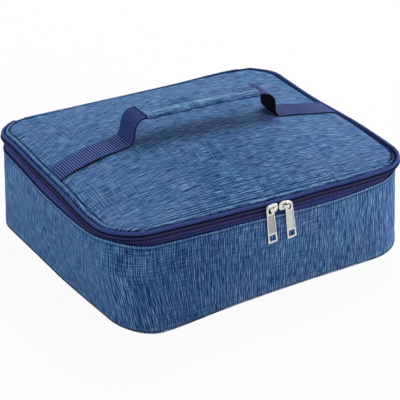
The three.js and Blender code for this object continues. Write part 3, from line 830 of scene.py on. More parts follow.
def zip_tapes():
    """The two tapes, each with the round cover of its coil along one edge and a crease under it."""
    low, high = UPPER_ROW
    upper = [(2.0, high + 0.9), (1.6, high + 0.5), (0.8, high - 0.1), (0.5, high - 0.7), (0.45, high - 1.3),
             (0.55, low + 0.7), (0.9, low + 0.2), (1.4, low), (2.0, low + 0.1), (2.1, low + 0.8)]
    low, high = LOWER_ROW
    lower = [(2.0, high - 0.1), (1.4, high), (0.9, high - 0.2), (0.55, high - 0.7), (0.45, high - 1.3),
             (0.5, low + 0.7), (0.8, low + 0.1), (1.6, low - 0.4), (1.2, low - 0.9), (0.95, low - 1.5),
             (0.95, low - 1.9), (1.2, low - 2.4), (1.3, HEM_Z - 1.5), (1.3, HEM_Z - 7), (2.0, HEM_Z - 7),
             (2.1, high - 0.8)]
    made = []
    # Some rows are painted near black: painted shade under the piping, below the lower coil and above the
    # hem
    tapes = [("upper_tape", upper, range(3, 8), range(3)), ("lower_tape", lower, range(1, 7), (7, 11))]
    for name, profile, covers, shaded_rows in tapes:
        tape = band(name, ZIP_END, 2.6, profile, TAPE_CLOTH, warp="along", shape=rim_shape)
        tape.data.materials.append(COIL_CLOTH)
        tape.data.materials.append(SEAM_SHADE_CLOTH)
        for face in tape.data.polygons:
            row = face.index % len(profile)
            if face.loop_total == 4 and row in covers:
                face.material_index = 1
            if face.loop_total == 4 and row in shaded_rows:
                face.material_index = 2
        made.append(tape)
    return made


def tubes(name, rings, around, material):
    """One object of many small closed tubes, from the points of each ring's corners in turn."""
    points = np.stack(rings, axis=1)
    count = points.shape[1]
    single = grid_faces(count // around, around, True)
    faces = []
    for first in range(0, len(points) * count, count):
        faces.extend((single + first).tolist())
        faces.append([first + corner for corner in range(around)])
        faces.append([first + count - 1 - corner for corner in range(around)])
    return mended(make(name, points.reshape(-1, 3), faces, material))


def teeth(name, row, towards):
    """One row of the coil: a rounded turn of nylon at each pitch, its head at the middle of the chain."""
    distance = np.arange(-ZIP_END + 2, ZIP_END - 2, TOOTH_PITCH)
    if towards > 0:
        distance = distance + TOOTH_PITCH / 2
    deep, lift = rim_shape(distance, np.full(len(distance), 3.1), np.full(len(distance), row[0]))
    place, out = rim(distance, deep)
    along = np.stack([-out[:, 1], out[:, 0]], axis=-1)
    foot, head = (row[0] + 0.6, row[1] + 0.4) if towards > 0 else (row[1] - 0.6, row[0] - 0.4)
    heights = np.linspace(foot, head, 4)
    widths = [0.42, 0.42, 0.62, 0.5]
    turns = full_turn(6)
    points = []
    for height, width in zip(heights, widths):
        for turn in turns:
            shift = along * (width * math.cos(turn)) + out * (0.75 * math.sin(turn))
            points.append(np.column_stack([place + shift, height + lift - row[0]]))
    return tubes(name, points, len(turns), COIL)


def stitches(name, place, along, out):
    """A row of sewn stitches: each a short thread that dips into the cloth at both ends."""
    place, along, out = (np.asarray(value, float) for value in (place, along, out))
    side = np.cross(along, out)
    shares = [(-0.5, 0.35, -0.5), (-0.36, 0.9, 0.05), (0.0, 1.0, 0.42), (0.36, 0.9, 0.05),
              (0.5, 0.35, -0.5)]
    turns = full_turn(6)
    points = []
    for length, girth, lift in shares:
        for turn in turns:
            across = THREAD / 2 * girth * math.cos(turn)
            raised = THREAD / 2 * (girth * math.sin(turn) + 2 * lift)
            points.append(place + along * (STITCH * length) + (side * across + out * raised))
    return tubes(name, points, len(turns), SEWING)


def hem_stitches():
    distance = np.arange(-ZIP_END + 3, ZIP_END - 3, STITCH + STITCH_GAP)
    inset, height = wall_shape(distance, np.full(len(distance), 0.32), np.full(len(distance), HEM_Z - 2.7))
    place, out = rim(distance, inset)
    flat = np.zeros(len(distance))
    along = np.column_stack([-out[:, 1], out[:, 0], flat])
    return stitches("hem_stitches", np.column_stack([place, height]), along, np.column_stack([out, flat]))


def lid_stitches():
    distance = np.arange(-ROUND + 2, ROUND - 2, STITCH + STITCH_GAP)
    gap = PANEL_INSET + LID_HEM
    place, out = rim(distance, gap)
    height = lid_face(place[:, 0], place[:, 1], np.full(len(distance), gap))
    clear = (np.abs(place[:, 1]) > WEBBING / 2 + 1) | (np.abs(place[:, 0]) < HALF_X - 2 * CORNER)
    flat = np.zeros(len(distance))
    along = np.column_stack([-out[:, 1], out[:, 0], flat])
    up = np.column_stack([flat, flat, flat + 1])
    centre = np.column_stack([place, height])
    return stitches("lid_stitches", centre[clear], along[clear], up[clear])


# The strap

def curve_through(points, step):
    """A smooth line through points, resampled evenly."""
    points = np.asarray(points, float)
    ends = np.concatenate([[2 * points[0] - points[1]], points, [2 * points[-1] - points[-2]]])
    found = []
    for a, b, c, d in zip(ends[:-3], ends[1:-2], ends[2:-1], ends[3:]):
        for t in np.linspace(0, 1, 24, endpoint=False):
            square = (2 * a - 5 * b + 4 * c - d) * t ** 2
            cube = (3 * b - a - 3 * c + d) * t ** 3
            found.append(0.5 * (2 * b + (c - a) * t + square + cube))
    found = np.array([*found, points[-1]])
    length = np.concatenate([[0.0], np.cumsum(np.linalg.norm(np.diff(found, axis=0), axis=1))])
    even = np.arange(0, length[-1], step)
    return np.column_stack([np.interp(even, length,
                                      found[:, axis]) for axis in range(found.shape[1])]), even


def strap_line():
    thick = 0.3 + 0.8
    outer = HALF_X - PANEL_INSET - LID_HEM + 0.6
    left_flat = [(x, lid_over(x) + thick) for x in np.linspace(-outer + 2, -84, 7)]
    right_flat = [(x, lid_over(x) + thick) for x in np.linspace(84, outer - 2, 7)]
    left_end = [(-outer, lid_over(-outer) + 0.1)]
    right_end = [(outer, lid_over(outer) + 0.1)]
    path = STRAP_RISE_LEFT + STRAP_GRIP + STRAP_RISE_RIGHT
    rises = [(x, lid_over(x) + thick + 0.3 if z is None else z) for x, z in path]
    return left_end + left_flat + rises + right_flat + right_end


def strap_half(side):
    """Half of the webbing: sewn down on the lid, risen, and through the grip to its middle."""
    line, length = curve_through(strap_line(), 0.4)
    kept = line[:, 0] * side >= -0.2
    line, length = line[kept], length[kept]
    along = np.gradient(line, axis=0)
    along /= np.linalg.norm(along, axis=1)[:, None]
    normal = np.column_stack([-along[:, 1], along[:, 0]])
    half = WEBBING / 2
    widths = [-half, -half + 0.25, -half + 1.2, -half + 1.7]
    widths += list(np.linspace(-half + 4, half - 4, 7))
    widths += [half - 1.7, half - 1.2, half - 0.25, half]
    widths = np.array(widths)
    edge = np.clip((half - np.abs(widths)) / 0.5, 0, 1)
    thick = 0.42 + 0.36 * edge
    selvedge = (np.abs(widths) > half - 1.5) * (np.abs(widths) < half - 0.2)
    ribbed = (np.abs(widths) < half - 1.3).astype(float)
    rib = np.abs(np.sin(math.pi * length / RIB_PITCH))[:, None]
    # The ribs show where the webbing lies flat, and are stretched out where it rises; the same share sets
    # how strongly the ribs are painted darker in their grooves as painted shade
    plain = (0.1 + 0.9 * smooth((np.abs(line[:, 0]) - 73) / 5))[:, None]
    top = thick + 0.1 * selvedge + (0.3 * rib - 0.15) * ribbed * plain
    grid = []
    for sign, order in ((1, slice(None)), (-1, slice(None, None, -1))):
        lift = sign * np.broadcast_to(top, (len(line), len(widths)))[:, order]
        x = line[:, :1] + normal[:, :1] * lift
        z = line[:, 1:] + normal[:, 1:] * lift
        y = np.broadcast_to(widths[order], x.shape)
        grid.append(np.dstack([x, y, z]))
    name = "webbing_left" if side < 0 else "webbing_right"
    made = swept(name, np.concatenate(grid, axis=1), WEBBING_YARN, warp="along", tone_shift=plain)
    # The underside faces take the near-black cloth: painted shade
    made.data.materials.append(WEBBING_BACK_SHADE)
    for face in made.data.polygons:
        if face.loop_total == 4 and face.index % (2 * len(widths)) >= len(widths):
            face.material_index = 1
    rise = STRAP_RISE_LEFT if side < 0 else STRAP_RISE_RIGHT[::-1]
    foot = (rise[0][0] * MM, 0, (lid_over(rise[0][0]) + 3) * MM)
    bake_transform(made)
    return made


def grip_sleeve():
    """A strip of the bag's cloth wrapped round the webbing, lapped and sewn along its top."""
    line, _ = curve_through(strap_line(), 1.6)
    line = line[np.abs(line[:, 0]) <= 57.6]
    along = np.gradient(line, axis=0)
    along /= np.linalg.norm(along, axis=1)[:, None]
    normal = np.column_stack([-along[:, 1], along[:, 0]])
    half = WEBBING / 2 + 0.3
    under = [(-8.5, 1.45), (6, 1.5), (half - 1.0, 1.4), (half + 0.5, 0.9), (half + 1.0, 0.0),
             (half + 0.5, -0.9),
             (half - 1.0, -1.4), (4, -1.5), (-4, -1.5), (-half + 1.0, -1.4), (-half - 0.5, -0.9),
             (-half - 1.0, 0.0),
             (-half - 0.5, 0.95), (-half + 1.0, 1.7)]
    lapped = [(-9, 2.5), (-5.5, 2.75), (-2.6, 2.7), (-1.4, 2.45), (-0.2, 2.7), (1.0, 2.85), (1.6, 2.8)]
    path = np.array(under + lapped)
    way = np.gradient(path, axis=0)
    way /= np.linalg.norm(way, axis=1)[:, None]
    # The path runs clockwise seen along +X, so its outer side is on the left
    outward = np.column_stack([-way[:, 1], way[:, 0]])
    thick = np.where(np.arange(len(path)) >= len(path) - 2, 0.7, 0.42)[:, None]
    profile = np.concatenate([path + outward * thick, (path - outward * 0.4)[::-1]])
    # Painted light on the sleeve: the lap's top painted paler, its edge and the sleeve's lower front edge
    # painted darker as painted shade, with a painted highlight along the lap's edge; the pale frayed ends
    # are the cloth's own
    tone_shift = np.zeros(len(profile))
    tone_shift[len(under):len(path) - 3] = 0.7
    tone_shift[[len(path) - 1, len(path) - 2, len(path)]] = -2.4, 0.8, -2.4
    tone_shift[len(path) - 4] = -0.4
    tone_shift[[9, 10, 11]] = -2.6, -2.6, -0.5
    frayed = 2.2 * smooth((np.abs(line[:, :1]) - 56.3) / 1.0)
    tone_shift = tone_shift[None, :] + frayed
    # The lap's edge drifts forward towards the right end
    x = line[:, :1]
    lap = -2.6 - 2.6 * smooth((x + 5) / 62)
    start = -half + 1.0
    narrower = (lap - start) / (1.6 - start)
    on_lap = np.zeros(len(path), bool)
    on_lap[len(under):] = True
    on_lap = np.concatenate([on_lap, on_lap[::-1]])
    y = np.where(on_lap, start + (profile[:, 0] - start) * narrower, profile[:, 0])
    field = np.stack(np.broadcast_arrays(x, 2 * y), axis=-1)
    lift = profile[:, 1] + 0.3 * ripple(field, 51, 24.0) + 0.2 * smooth(1 - (57.6 - np.abs(x)) / 2.5)
    grid = np.dstack([x + normal[:, :1] * lift, y + 0.5 * puckers(x, 1.0, 61),
                      line[:, 1:] + normal[:, 1:] * lift])
    made = swept("grip_sleeve", grid, HEATHER, warp="along", tone_shift=tone_shift)
    place = np.arange(-54, 54, STITCH + STITCH_GAP)
    seam = np.interp(place, line[:, 0], (start + (-1.4 - start) * narrower)[:, 0])
    centre = np.column_stack([place, seam, np.interp(place, line[:, 0], line[:, 1]) + 3.0])
    forward = np.tile([1.0, 0, 0], (len(place), 1))
    up = np.tile([0, 0, 1.0], (len(place), 1))
    return made, stitches("sleeve_stitches", centre, forward, up)


def foot_tacks(side):
    """Two rows of thread across the webbing that hold it down at its foot."""
    centres = []
    for row in (82.0, 84.2):
        for across in np.arange(-WEBBING / 2 + 2.5, WEBBING / 2 - 1.5, STITCH + 0.4):
            centres.append((side * row, across, lid_over(side * row) + 2.0, 0, 1))
    place = np.array([item[:3] for item in centres], float)
    along = np.array([(item[3], item[4], 0) for item in centres], float)
    up = np.tile([0, 0, 1.0], (len(centres), 1))
    return stitches("strap_stitches_left" if side < 0 else "strap_stitches_right", place, along, up)


# Inside

FOAM_EDGE = 1.4
CRINKLE = 0.45


def level(height):
    """A flat face for a panel."""
    return lambda x, y, gap: height + 0 * gap


def rounded_slab(low_inset, high_inset, low, high):
    """The profile of a foam band with eased corners."""
    edge = FOAM_EDGE
    return [(low_inset, low + edge), (low_inset + edge * 0.3, low + edge * 0.3), (low_inset + edge, low),
            (high_inset - edge, low), (high_inset - edge * 0.3, low + edge * 0.3), (high_inset, low + edge),
            *[(high_inset, row) for row in np.linspace(low + edge + 6, high - edge - 6, 6)],
            (high_inset, high - edge), (high_inset - edge * 0.3, high - edge * 0.3),
            (high_inset - edge, high),
            (low_inset + edge, high), (low_inset + edge * 0.3, high - edge * 0.3), (low_inset, high - edge),
            *[(low_inset, row) for row in np.linspace(high - edge - 6, low + edge + 6, 6)]]


def board_sheet():
    low, high = node_box("base_board")
    rings = [HALF_X - high[0] + step for step in (0, 1, 4, 9, 16, 24)]
    return panel("board_sheet", rings, 6.0, level(high[2]), level(low[2]), BOARD)


def foam_pieces():
    low, high = node_box("wall_foam")
    inset, inner = HALF_X - high[0], 7.3
    wall = band("foam_wall", ZIP_END, 5.0, rounded_slab(inset, inner, low[2], high[2] - 0.8), FOAM)
    back = back_band("foam_back", FLAT_X - 0.4, 5.0, rounded_slab(inset, inner, low[2], high[2] - 0.8),
                     FOAM)
    floor_low, floor_high = node_box("floor_foam")
    rings = [HALF_X - floor_high[0] + step for step in (0, 0.4, 1.2, 4, 12, 20)]
    first = rings[0]

    def floor_top(x, y, gap):
        return floor_high[2] - 1.2 * smooth(1 - (gap - first) / 1.2)

    floor = panel("foam_floor", rings, 8.0, floor_top, level(floor_low[2]), FOAM)
    inset = HALF_X - node_box("lid_foam")[1][0]
    rings = [inset + step for step in (0, 1.2, 4, 9, 16)]

    def lid_top(x, y, gap):
        return lid_face(x, y, gap) - CLOTH - 0.5 - 0.8 * smooth(1 - (gap - inset) / 2)

    def lid_bottom(x, y, gap):
        return lid_face(x, y, np.full_like(gap, CORNER)) - 5.4

    lid = panel("foam_lid", rings, 6.0, lid_top, lid_bottom, FOAM)
    return wall, back, floor, lid


def crinkle(x, y, z=0.0):
    """How far the crumpled foil stands out."""
    place = np.stack(np.broadcast_arrays(x, y, z), axis=-1).astype(float)
    return CRINKLE * (0.6 * ripple(place, 71, 22.0) + 0.4 * np.abs(ripple(place, 72, 11.0)))


def liners():
    low, high = node_box("wall_liner")
    inset = HALF_X - high[0]
    rows = list(np.linspace(low[2] + 1, high[2] - 1, 22))
    outer = [(inset, row) for row in rows]
    over = [(inset - 5.1, high[2] + 0.2), (inset - 5.3, high[2] + 0.75), (inset + 0.4, high[2] + 0.8)]
    inner = [(inset + 0.6, row) for row in reversed(rows)]
    distance = stations(ROUND, 4.0)[:-1]
    profile = np.array(outer + over + inner, float)
    place, out = rim(distance[:, None], profile[None, :, 0])
    height = np.tile(profile[:, 1], (len(distance), 1))
    fold = crinkle(place[..., 0], place[..., 1], height) * smooth((high[2] - height) / 6)
    grid = np.dstack([place - out * fold[..., None] * 0.8, height])
    count, across = grid.shape[:2]
    wall = mended(make("liner_wall", grid.reshape(-1, 3), grid_faces(count, across, True, True).tolist(),
                       FOIL))
    floor_low, floor_high = node_box("floor_liner")
    rings = [HALF_X - floor_high[0] - 0.5 + step for step in (0, 1, 4, 8, 12, 18)]

    def floor(x, y, gap):
        return floor_high[2] + crinkle(x, y) * smooth((gap - rings[0]) / 8)

    bottom = panel("liner_floor", rings, 5.0, floor, lambda x, y, gap: floor(x, y, gap) - 0.5, FOIL)
    inset = HALF_X - node_box("lid_liner")[1][0]
    rings = [inset - 0.6 + step for step in (0, 1, 4, 8, 12, 18)]

    def lid_under(x, y, gap):
        return lid_face(x, y, np.full_like(gap, CORNER)) - 6.6 - crinkle(x, y)

    top = panel("liner_lid", rings, 5.0, lambda x, y, gap: lid_under(x, y, gap) + 0.5, lid_under, FOIL)
    return wall, bottom, top


def binding_profile(inset, outer, low, high):
    middle = (inset + outer) / 2
    return [(inset, low + 0.8), (inset + 0.5, low + 0.1), (middle, low), (outer - 0.5, low + 0.1),
            (outer, low + 0.8),
            (outer, high - 0.8), (outer - 0.5, high - 0.1), (middle, high), (inset + 0.5, high - 0.1),
            (inset, high - 0.8)]


def capping_profile(inset, low, top):
    """The wall's binding: down the liner's face, and over the top of the foam to the tape."""
    return [(inset, low + 0.8), (inset + 0.4, low + 0.1), (inset + 0.8, low + 0.1),
            (inset + 1.1, low + 0.8),
            (inset + 1.1, top - 1.2), (inset + 0.7, top - 0.4), (inset - 0.1, top), (5.5, top + 0.1),
            (3.2, top),
            (2.8, top - 0.3), (3.1, top - 0.65), (inset - 0.3, top - 0.7), (inset, top - 1.4)]


def bindings():
    made = []
    nodes = {"binding_floor": "floor_binding", "binding_top": "wall_binding", "binding_lid": "lid_binding"}
    for name, node in nodes.items():
        low, high = node_box(node)
        inset = HALF_X - high[0]
        if node == "wall_binding":
            profile = capping_profile(inset, low[2], high[2] + 1.6)
        else:
            profile = binding_profile(inset, inset + 3.0, low[2], high[2])
        drop = rim_drop if node == "lid_binding" else None
        made.append(ring_band(name, 4.0, profile, BINDING_CLOTH, warp="along", drop=drop))
    return made


# Metal

def filled(name, loops, thick, bevel):
    """A flat plate with holes and eased edges, in the XZ plane, from loops of [x, z]."""
    curve = bpy.data.curves.new(name, "CURVE")
    curve.dimensions = "2D"
    curve.fill_mode = "BOTH"
    curve.extrude = (thick / 2 - bevel) * MM
    curve.bevel_depth = bevel * MM
    curve.bevel_resolution = 2
    curve.offset = -bevel * MM
    for loop in loops:
        spline = curve.splines.new("POLY")
        spline.points.add(len(loop) - 1)
        for point, (x, z) in zip(spline.points, loop):
            point.co = (x * MM, z * MM, 0, 1)
        spline.use_cyclic_u = True
    holder = bpy.data.objects.new(name, curve)
    bpy.context.scene.collection.objects.link(holder)
    graph = bpy.context.evaluated_depsgraph_get()
    mesh = bpy.data.meshes.new_from_object(holder.evaluated_get(graph))
    bpy.data.objects.remove(holder)
    mesh.transform(Matrix.Rotation(math.radians(90), 4, "X"))
    return mesh


def circle(radius, start, end, count):
    """Points [x, z] of an arc, or of a whole circle without its last point."""
    turns = np.linspace(start, end, count, endpoint=abs(end - start) < 6.2)
    return [(radius * math.cos(turn), radius * math.sin(turn)) for turn in turns]


def joined(name, meshes, materials):
    """One object from several meshes, each with a shift in millimetres and the number of its material."""
    work = bmesh.new()
    for mesh, shift, finish in meshes:
        mesh.transform(Matrix.Translation(Vector(shift) * MM))
        for face in mesh.polygons:
            face.material_index = finish
        work.from_mesh(mesh)
    bmesh.ops.remove_doubles(work, verts=work.verts, dist=0.001 * MM)
    bmesh.ops.recalc_face_normals(work, faces=work.faces)
    whole = bpy.data.meshes.new(name)
    work.to_mesh(whole)
    work.free()
    for material in materials:
        whole.materials.append(material)
    whole.shade_smooth()
    whole.set_sharp_from_angle(angle=math.radians(35))
    made = bpy.data.objects.new(name, whole)
    bpy.context.scene.collection.objects.link(made)
    return made


PULL_LENGTH, PULL_HEAD, PULL_EYE = 32.6, 3.9, 1.9
PULL_SHOULDER, PULL_WIDTH, PULL_WINDOW, PULL_MARGIN = 7.6, 9.4, 5.8, 1.9
PULL_TILT = {"left": math.radians(6.5), "right": math.radians(7.4)}
SLIDER_DROP = 1.2
BRIDGE_HALF = 2.8


def pull_mesh():
    """A pull with its eye at the origin: raised border, sunk middle, square window, pierced head."""
    half, low = PULL_WIDTH / 2, -PULL_LENGTH
    turn = math.acos(PULL_SHOULDER / 2 / PULL_HEAD)
    head = circle(PULL_HEAD, -turn, math.pi + turn, 22)
    outline = [(-half + 0.5, low), (half - 0.5, low), (half, low + 0.5), *head, (-half, low + 0.5)]
    side = PULL_WINDOW / 2
    base = low + PULL_MARGIN
    window = [(-side, base), (-side, base + PULL_WINDOW), (side, base + PULL_WINDOW), (side, base)]
    eye = [(x * 0.95, z * 1.55 - 1.2) for x, z in circle(PULL_EYE, 0, -2 * math.pi, 20)]
    top, bottom = -PULL_HEAD - 1.4, base + PULL_WINDOW + 1.4
    sunk = [(-2.7, top), (2.7, top), (3.4, bottom), (-3.4, bottom)]
    plate = filled("pull_plate", [outline, window, eye], 0.6, 0.1)
    border = filled("pull_border", [outline, window, eye, sunk], 1.1, 0.25)
    return [(plate, (0, 0.1, 0), 1), (border, (0, 0, 0), 0)]


def slider_plate(half_length, nose, tail, heights):
    """A shield-shaped plate with a domed face: rings of a rounded outline at shares of its size."""
    turns = full_turn(32)
    x = half_length * np.sign(np.cos(turns)) * np.abs(np.cos(turns)) ** 0.7
    tall = tail + (nose - tail) * smooth((x + half_length) / (2 * half_length))
    z = tall * np.sign(np.sin(turns)) * np.abs(np.sin(turns)) ** 0.7
    rings = [np.column_stack([x * share, np.full(len(x), y), z * share]) for y, share in heights]
    points = np.concatenate(rings)
    faces = grid_faces(len(heights), len(x), True).tolist()
    faces += [list(range(len(x))), list(range(len(points) - len(x), len(points)))]
    mesh = bpy.data.meshes.new("plate")
    mesh.from_pydata((points * MM).tolist(), [], faces)
    return mesh


def arch_mesh(front):
    """The bridge over the pull's eye: an oval bar bent over two posts."""
    line, _ = curve_through([(-BRIDGE_HALF, front + 0.4), (-BRIDGE_HALF, front - 1.4),
                             (-BRIDGE_HALF + 0.5, front - 2.5),
                             (-1.4, front - 3.1), (0, front - 3.25), (1.4, front - 3.1),
                             (BRIDGE_HALF - 0.5, front - 2.5),
                             (BRIDGE_HALF, front - 1.4), (BRIDGE_HALF, front + 0.4)], 0.5)
    along = np.gradient(line, axis=0)
    along /= np.linalg.norm(along, axis=1)[:, None]
    normal = np.column_stack([along[:, 1], -along[:, 0]])
    turns = full_turn(10)
    top = smooth((front - 1.2 - line[:, 1]) / 1.2)
    wide = 0.85 + 0.85 * top
    points = []
    for centre, across, half in zip(line, normal, wide):
        for turn in turns:
            shift = across * (0.62 * math.cos(turn))
            points.append((centre[0] + shift[0], centre[1] + shift[1], half * math.sin(turn)))
    faces = grid_faces(len(line), len(turns), True).tolist()
    faces += [list(range(len(turns))), list(range(len(points) - len(turns), len(points)))]
    mesh = bpy.data.meshes.new("arch")
    mesh.from_pydata((np.array(points) * MM).tolist(), [], faces)
    return mesh


def slider(side, label):
    """A slider with its nose at the middle of the front, and its pull."""
    low, high = node_box("slider_" + label)
    centre = (low[0] + high[0]) / 2
    half = (high[0] - low[0]) / 2 - 0.4
    centre = centre + 0.7 - side * 0.2
    front = -0.5
    nose, tail = 4.6, 3.9
    face = slider_plate(half, nose, tail,
                        [(0.9, 0.96), (0.75, 1.0), (-0.1, 1.0), (front + 0.1, 0.95), (front - 0.25, 0.8),
                         (front - 0.45, 0.45), (front - 0.5, 0.12)])
    back = slider_plate(half, 3.8, 2.9, [(5.1, 0.97), (5.2, 1.0), (5.55, 1.0), (5.7, 0.95)])
    neck = slider_plate(1.0, 0.15, 0.15, [(0.6, 1.0), (5.3, 1.0)])
    # A hollow behind the pull's eye, painted near black: painted shade under the bridge
    hollow = slider_plate(2.3, 2.5, 2.5, [(front + 0.2, 1.0), (front - 0.53, 0.94)])
    parts = [(face, (0, 0, 0), 0), (back, (0, 0, 0), 0), (neck, (half - 2.7, 0, SLIDER_DROP), 0),
             (arch_mesh(front), (0, 0, 0), 0), (hollow, (-BRIDGE_HALF - 0.1, 0, -0.9), 1)]
    made = joined("slider_body_" + label, parts, [NICKEL, METAL_SHADE])
    if side > 0:
        made.data.transform(Matrix.Scale(-1, 4, (1, 0, 0)))
        made.data.flip_normals()
    place = Vector((centre, -HALF_Y, CHAIN_Z - SLIDER_DROP)) * MM
    made.data.transform(Matrix.Translation(place))
    # The left pull's sunk middle takes the darker painted shade, the right one's the paler painted light
    recess = NICKEL_RECESS_SHADE if side < 0 else NICKEL_RECESS_LIGHT
    pull = joined("pull_tab_" + label, pull_mesh(), [NICKEL, recess, METAL_SHADE])
    # The plate's side faces are painted dark: painted shade along its edges
    for face in pull.data.polygons:
        if abs(face.normal.x) > 0.6:
            face.material_index = 2
    pull.data.transform(Matrix.Rotation(-PULL_TILT[label], 4, "Y"))
    eye = Vector((centre + side * BRIDGE_HALF, -HALF_Y + front - 0.85, CHAIN_Z - SLIDER_DROP)) * MM
    pull.data.transform(Matrix.Translation(eye))
    return made, pull


# Lights, floor and camera

def lamp(name, place, target, size, power, tint=(1, 1, 1)):
    light = bpy.data.lights.new(name, "AREA")
    light.shape = "RECTANGLE"
    light.size, light.size_y = size
    light.energy = power
    light.color = tint
    made = bpy.data.objects.new(name, light)
    made.location = place
    made.rotation_euler = (Vector(target) - Vector(place)).to_track_quat("-Z", "Y").to_euler()
    bpy.context.scene.collection.objects.link(made)
    return made


def white_floor():
    mesh = bpy.data.meshes.new("studio_floor")
    reach = 4.0
    mesh.from_pydata([(-reach, -reach, 0), (reach, -reach, 0), (reach, reach, 0), (-reach, reach, 0)], [],
                     [(0, 1, 2, 3)])
    shader = Shader("studio_floor")
    rays = shader.add("LightPath")
    matte = shader.add("BsdfDiffuse", {"Color": (0.9, 0.9, 0.9, 1)})
    white = shader.add("Emission", {"Color": (1, 1, 1, 1), "Strength": 1.0})
    seen = shader.maths("MAXIMUM", rays.outputs["Is Camera Ray"], rays.outputs["Is Glossy Ray"])
    seen = shader.maths("MAXIMUM", seen, rays.outputs["Is Transmission Ray"])
    share = shader.maths("MULTIPLY", seen, 0.94)
    mix = shader.add("MixShader", {0: share, 1: matte.outputs[0], 2: white.outputs[0]})
    shader.add("OutputMaterial", {"Surface": mix.outputs[0]})
    mesh.materials.append(shader.material)
    floor = bpy.data.objects.new("studio_floor", mesh)
    bpy.context.scene.collection.objects.link(floor)


def studio_world():
    world = bpy.data.worlds.new("studio")
    world.use_nodes = True
    tree = world.node_tree
    tree.nodes.clear()
    rays = tree.nodes.new("ShaderNodeLightPath")
    soft = tree.nodes.new("ShaderNodeBackground")
    soft.inputs["Color"].default_value = (0.93, 0.96, 1.0, 1)
    soft.inputs["Strength"].default_value = 0.38
    white = tree.nodes.new("ShaderNodeBackground")
    white.inputs["Color"].default_value = (1, 1, 1, 1)
    white.inputs["Strength"].default_value = 1.0
    seen = tree.nodes.new("ShaderNodeMath")
    seen.operation = "MAXIMUM"
    tree.links.new(rays.outputs["Is Camera Ray"], seen.inputs[0])
    through = tree.nodes.new("ShaderNodeMath")
    through.operation = "MAXIMUM"
    tree.links.new(rays.outputs["Is Glossy Ray"], through.inputs[0])
    tree.links.new(rays.outputs["Is Transmission Ray"], through.inputs[1])
    tree.links.new(through.outputs[0], seen.inputs[1])
    mix = tree.nodes.new("ShaderNodeMixShader")
    tree.links.new(seen.outputs[0], mix.inputs[0])
    tree.links.new(soft.outputs[0], mix.inputs[1])
    tree.links.new(white.outputs[0], mix.inputs[2])
    out = tree.nodes.new("ShaderNodeOutputWorld")
    tree.links.new(mix.outputs[0], out.inputs["Surface"])
    bpy.context.scene.world = world


def studio_camera():
    camera = bpy.data.cameras.new("studio_camera")
    camera.sensor_width = 36.0
    camera.lens = CAMERA_LENS
    camera.clip_start, camera.clip_end = 0.05, 20
    forward = Vector((-math.sin(CAMERA_YAW) * math.cos(CAMERA_PITCH),
                      math.cos(CAMERA_YAW) * math.cos(CAMERA_PITCH), -math.sin(CAMERA_PITCH)))
    right = Vector((math.cos(CAMERA_YAW), math.sin(CAMERA_YAW), 0))
    up = right.cross(forward)
    right, up = (right * math.cos(CAMERA_ROLL) + up * math.sin(CAMERA_ROLL),
                 up * math.cos(CAMERA_ROLL) - right * math.sin(CAMERA_ROLL))
    made = bpy.data.objects.new("studio_camera", camera)
    turn = Matrix((right, up, -forward)).transposed().to_4x4()
    made.matrix_world = Matrix.Translation(CAMERA_PLACE) @ turn
    bpy.context.scene.collection.objects.link(made)
    bpy.context.scene.camera = made


# The bag, piece by piece

def dress(piece, body, slot, *nodes):
    """A piece rides on a body and stands for CAD nodes, which it hides. Its slot is not used."""
    if body:
        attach(piece, body)
    if nodes:
        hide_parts(*nodes)


studio_camera()
wall, back = walls()
dress(wall, "base", "bag_fabric", "outer_wall")
dress(back, "base", "bag_fabric", "back_panel")
dress(side_seam(-1), "base", "bag_fabric")
dress(side_seam(1), "base", "bag_fabric")
bottom_cloth = underside()
dress(bottom_cloth, "base", "bag_fabric", "bottom_panel")
hem_sewing = hem_stitches()
dress(hem_sewing, "base", "bag_fabric")
lid_cloth = panel("lid_cloth", LID_RINGS, 3.0, lid_face, lid_under_face, HEATHER, lid_painted_light)
dress(lid_cloth, "lid", "bag_fabric", "lid_panel")
lid_sewing = lid_stitches()
dress(lid_sewing, "lid", "bag_fabric")
hinge = hinge_cloth()
dress(hinge, None, "bag_fabric", "hinge_fabric")
dress(piping(), "lid", "navy_piping", "rim_piping")
upper_tape, lower_tape = zip_tapes()
dress(upper_tape, "lid", "navy_tape", "upper_zip_tape")
dress(lower_tape, "base", "navy_tape", "lower_zip_tape")
dress(teeth("upper_teeth", UPPER_ROW, -1), "lid", "navy_coil", "upper_zip_coil")
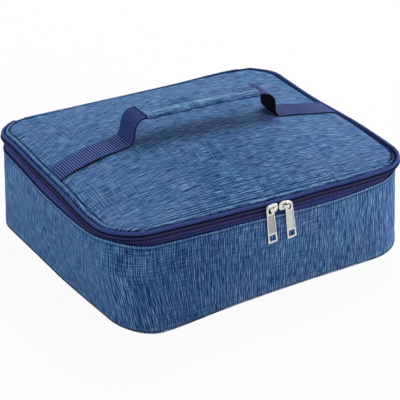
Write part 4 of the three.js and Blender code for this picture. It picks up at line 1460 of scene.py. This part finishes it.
dress(teeth("lower_teeth", LOWER_ROW, 1), "base", "navy_coil", "lower_zip_coil")
webbing_left = strap_half(-1)
dress(webbing_left, None, "navy_webbing", "strap_end_left", "strap_riser_left", "strap_middle")
webbing_right = strap_half(1)
dress(webbing_right, None, "navy_webbing", "strap_end_right", "strap_riser_right")
sleeve, sleeve_sewing = grip_sleeve()
dress(sleeve, "handle", "bag_fabric", "grip_wrap")
dress(sleeve_sewing, "handle", "bag_fabric")
dress(foot_tacks(-1), "lid", "navy_webbing")
dress(foot_tacks(1), "lid", "navy_webbing")
foam_wall, foam_back, foam_floor, foam_lid = foam_pieces()
dress(foam_wall, "base", "foam", "wall_foam")
dress(foam_back, "base", "foam", "back_foam")
dress(foam_floor, "base", "foam", "floor_foam")
dress(foam_lid, "lid", "foam", "lid_foam")
liner_wall, liner_floor, liner_lid = liners()
dress(liner_wall, "base", "foil_liner", "wall_liner")
dress(liner_floor, "base", "foil_liner", "floor_liner")
dress(liner_lid, "lid", "foil_liner", "lid_liner")
binding_floor, binding_top, binding_lid = bindings()
dress(binding_floor, "base", "navy_tape", "floor_binding")
dress(binding_top, "base", "navy_tape", "wall_binding")
dress(binding_lid, "lid", "navy_tape", "lid_binding")
SLIDERS = ((-1, "left", "slider_l", "pull_l"), (1, "right", "slider_r", "pull_r"))
for slider_side, slider_label, slider_body, pull_body in SLIDERS:
    metal, tab = slider(slider_side, slider_label)
    dress(metal, slider_body, "metal", "slider_" + slider_label)
    dress(tab, pull_body, "metal", "pull_" + slider_label)
board = board_sheet()
dress(board, "base", "base_board", "base_board")

white_floor()
studio_world()
lamp("key_lamp", (0.85, 0.95, 1.55), (0, 0, 0.05), (1.3, 1.3), 26)
lamp("left_lamp", (-1.6, 0.3, 0.7), (0, 0, 0.05), (1.2, 1.0), 6.5, (0.56, 0.87, 1.0))
lamp("right_lamp", (0.62, -0.5, 0.32), (0.15, -0.1, 0.04), (0.4, 0.3), 2.2)
bpy.context.scene.view_settings.view_transform = "Standard"
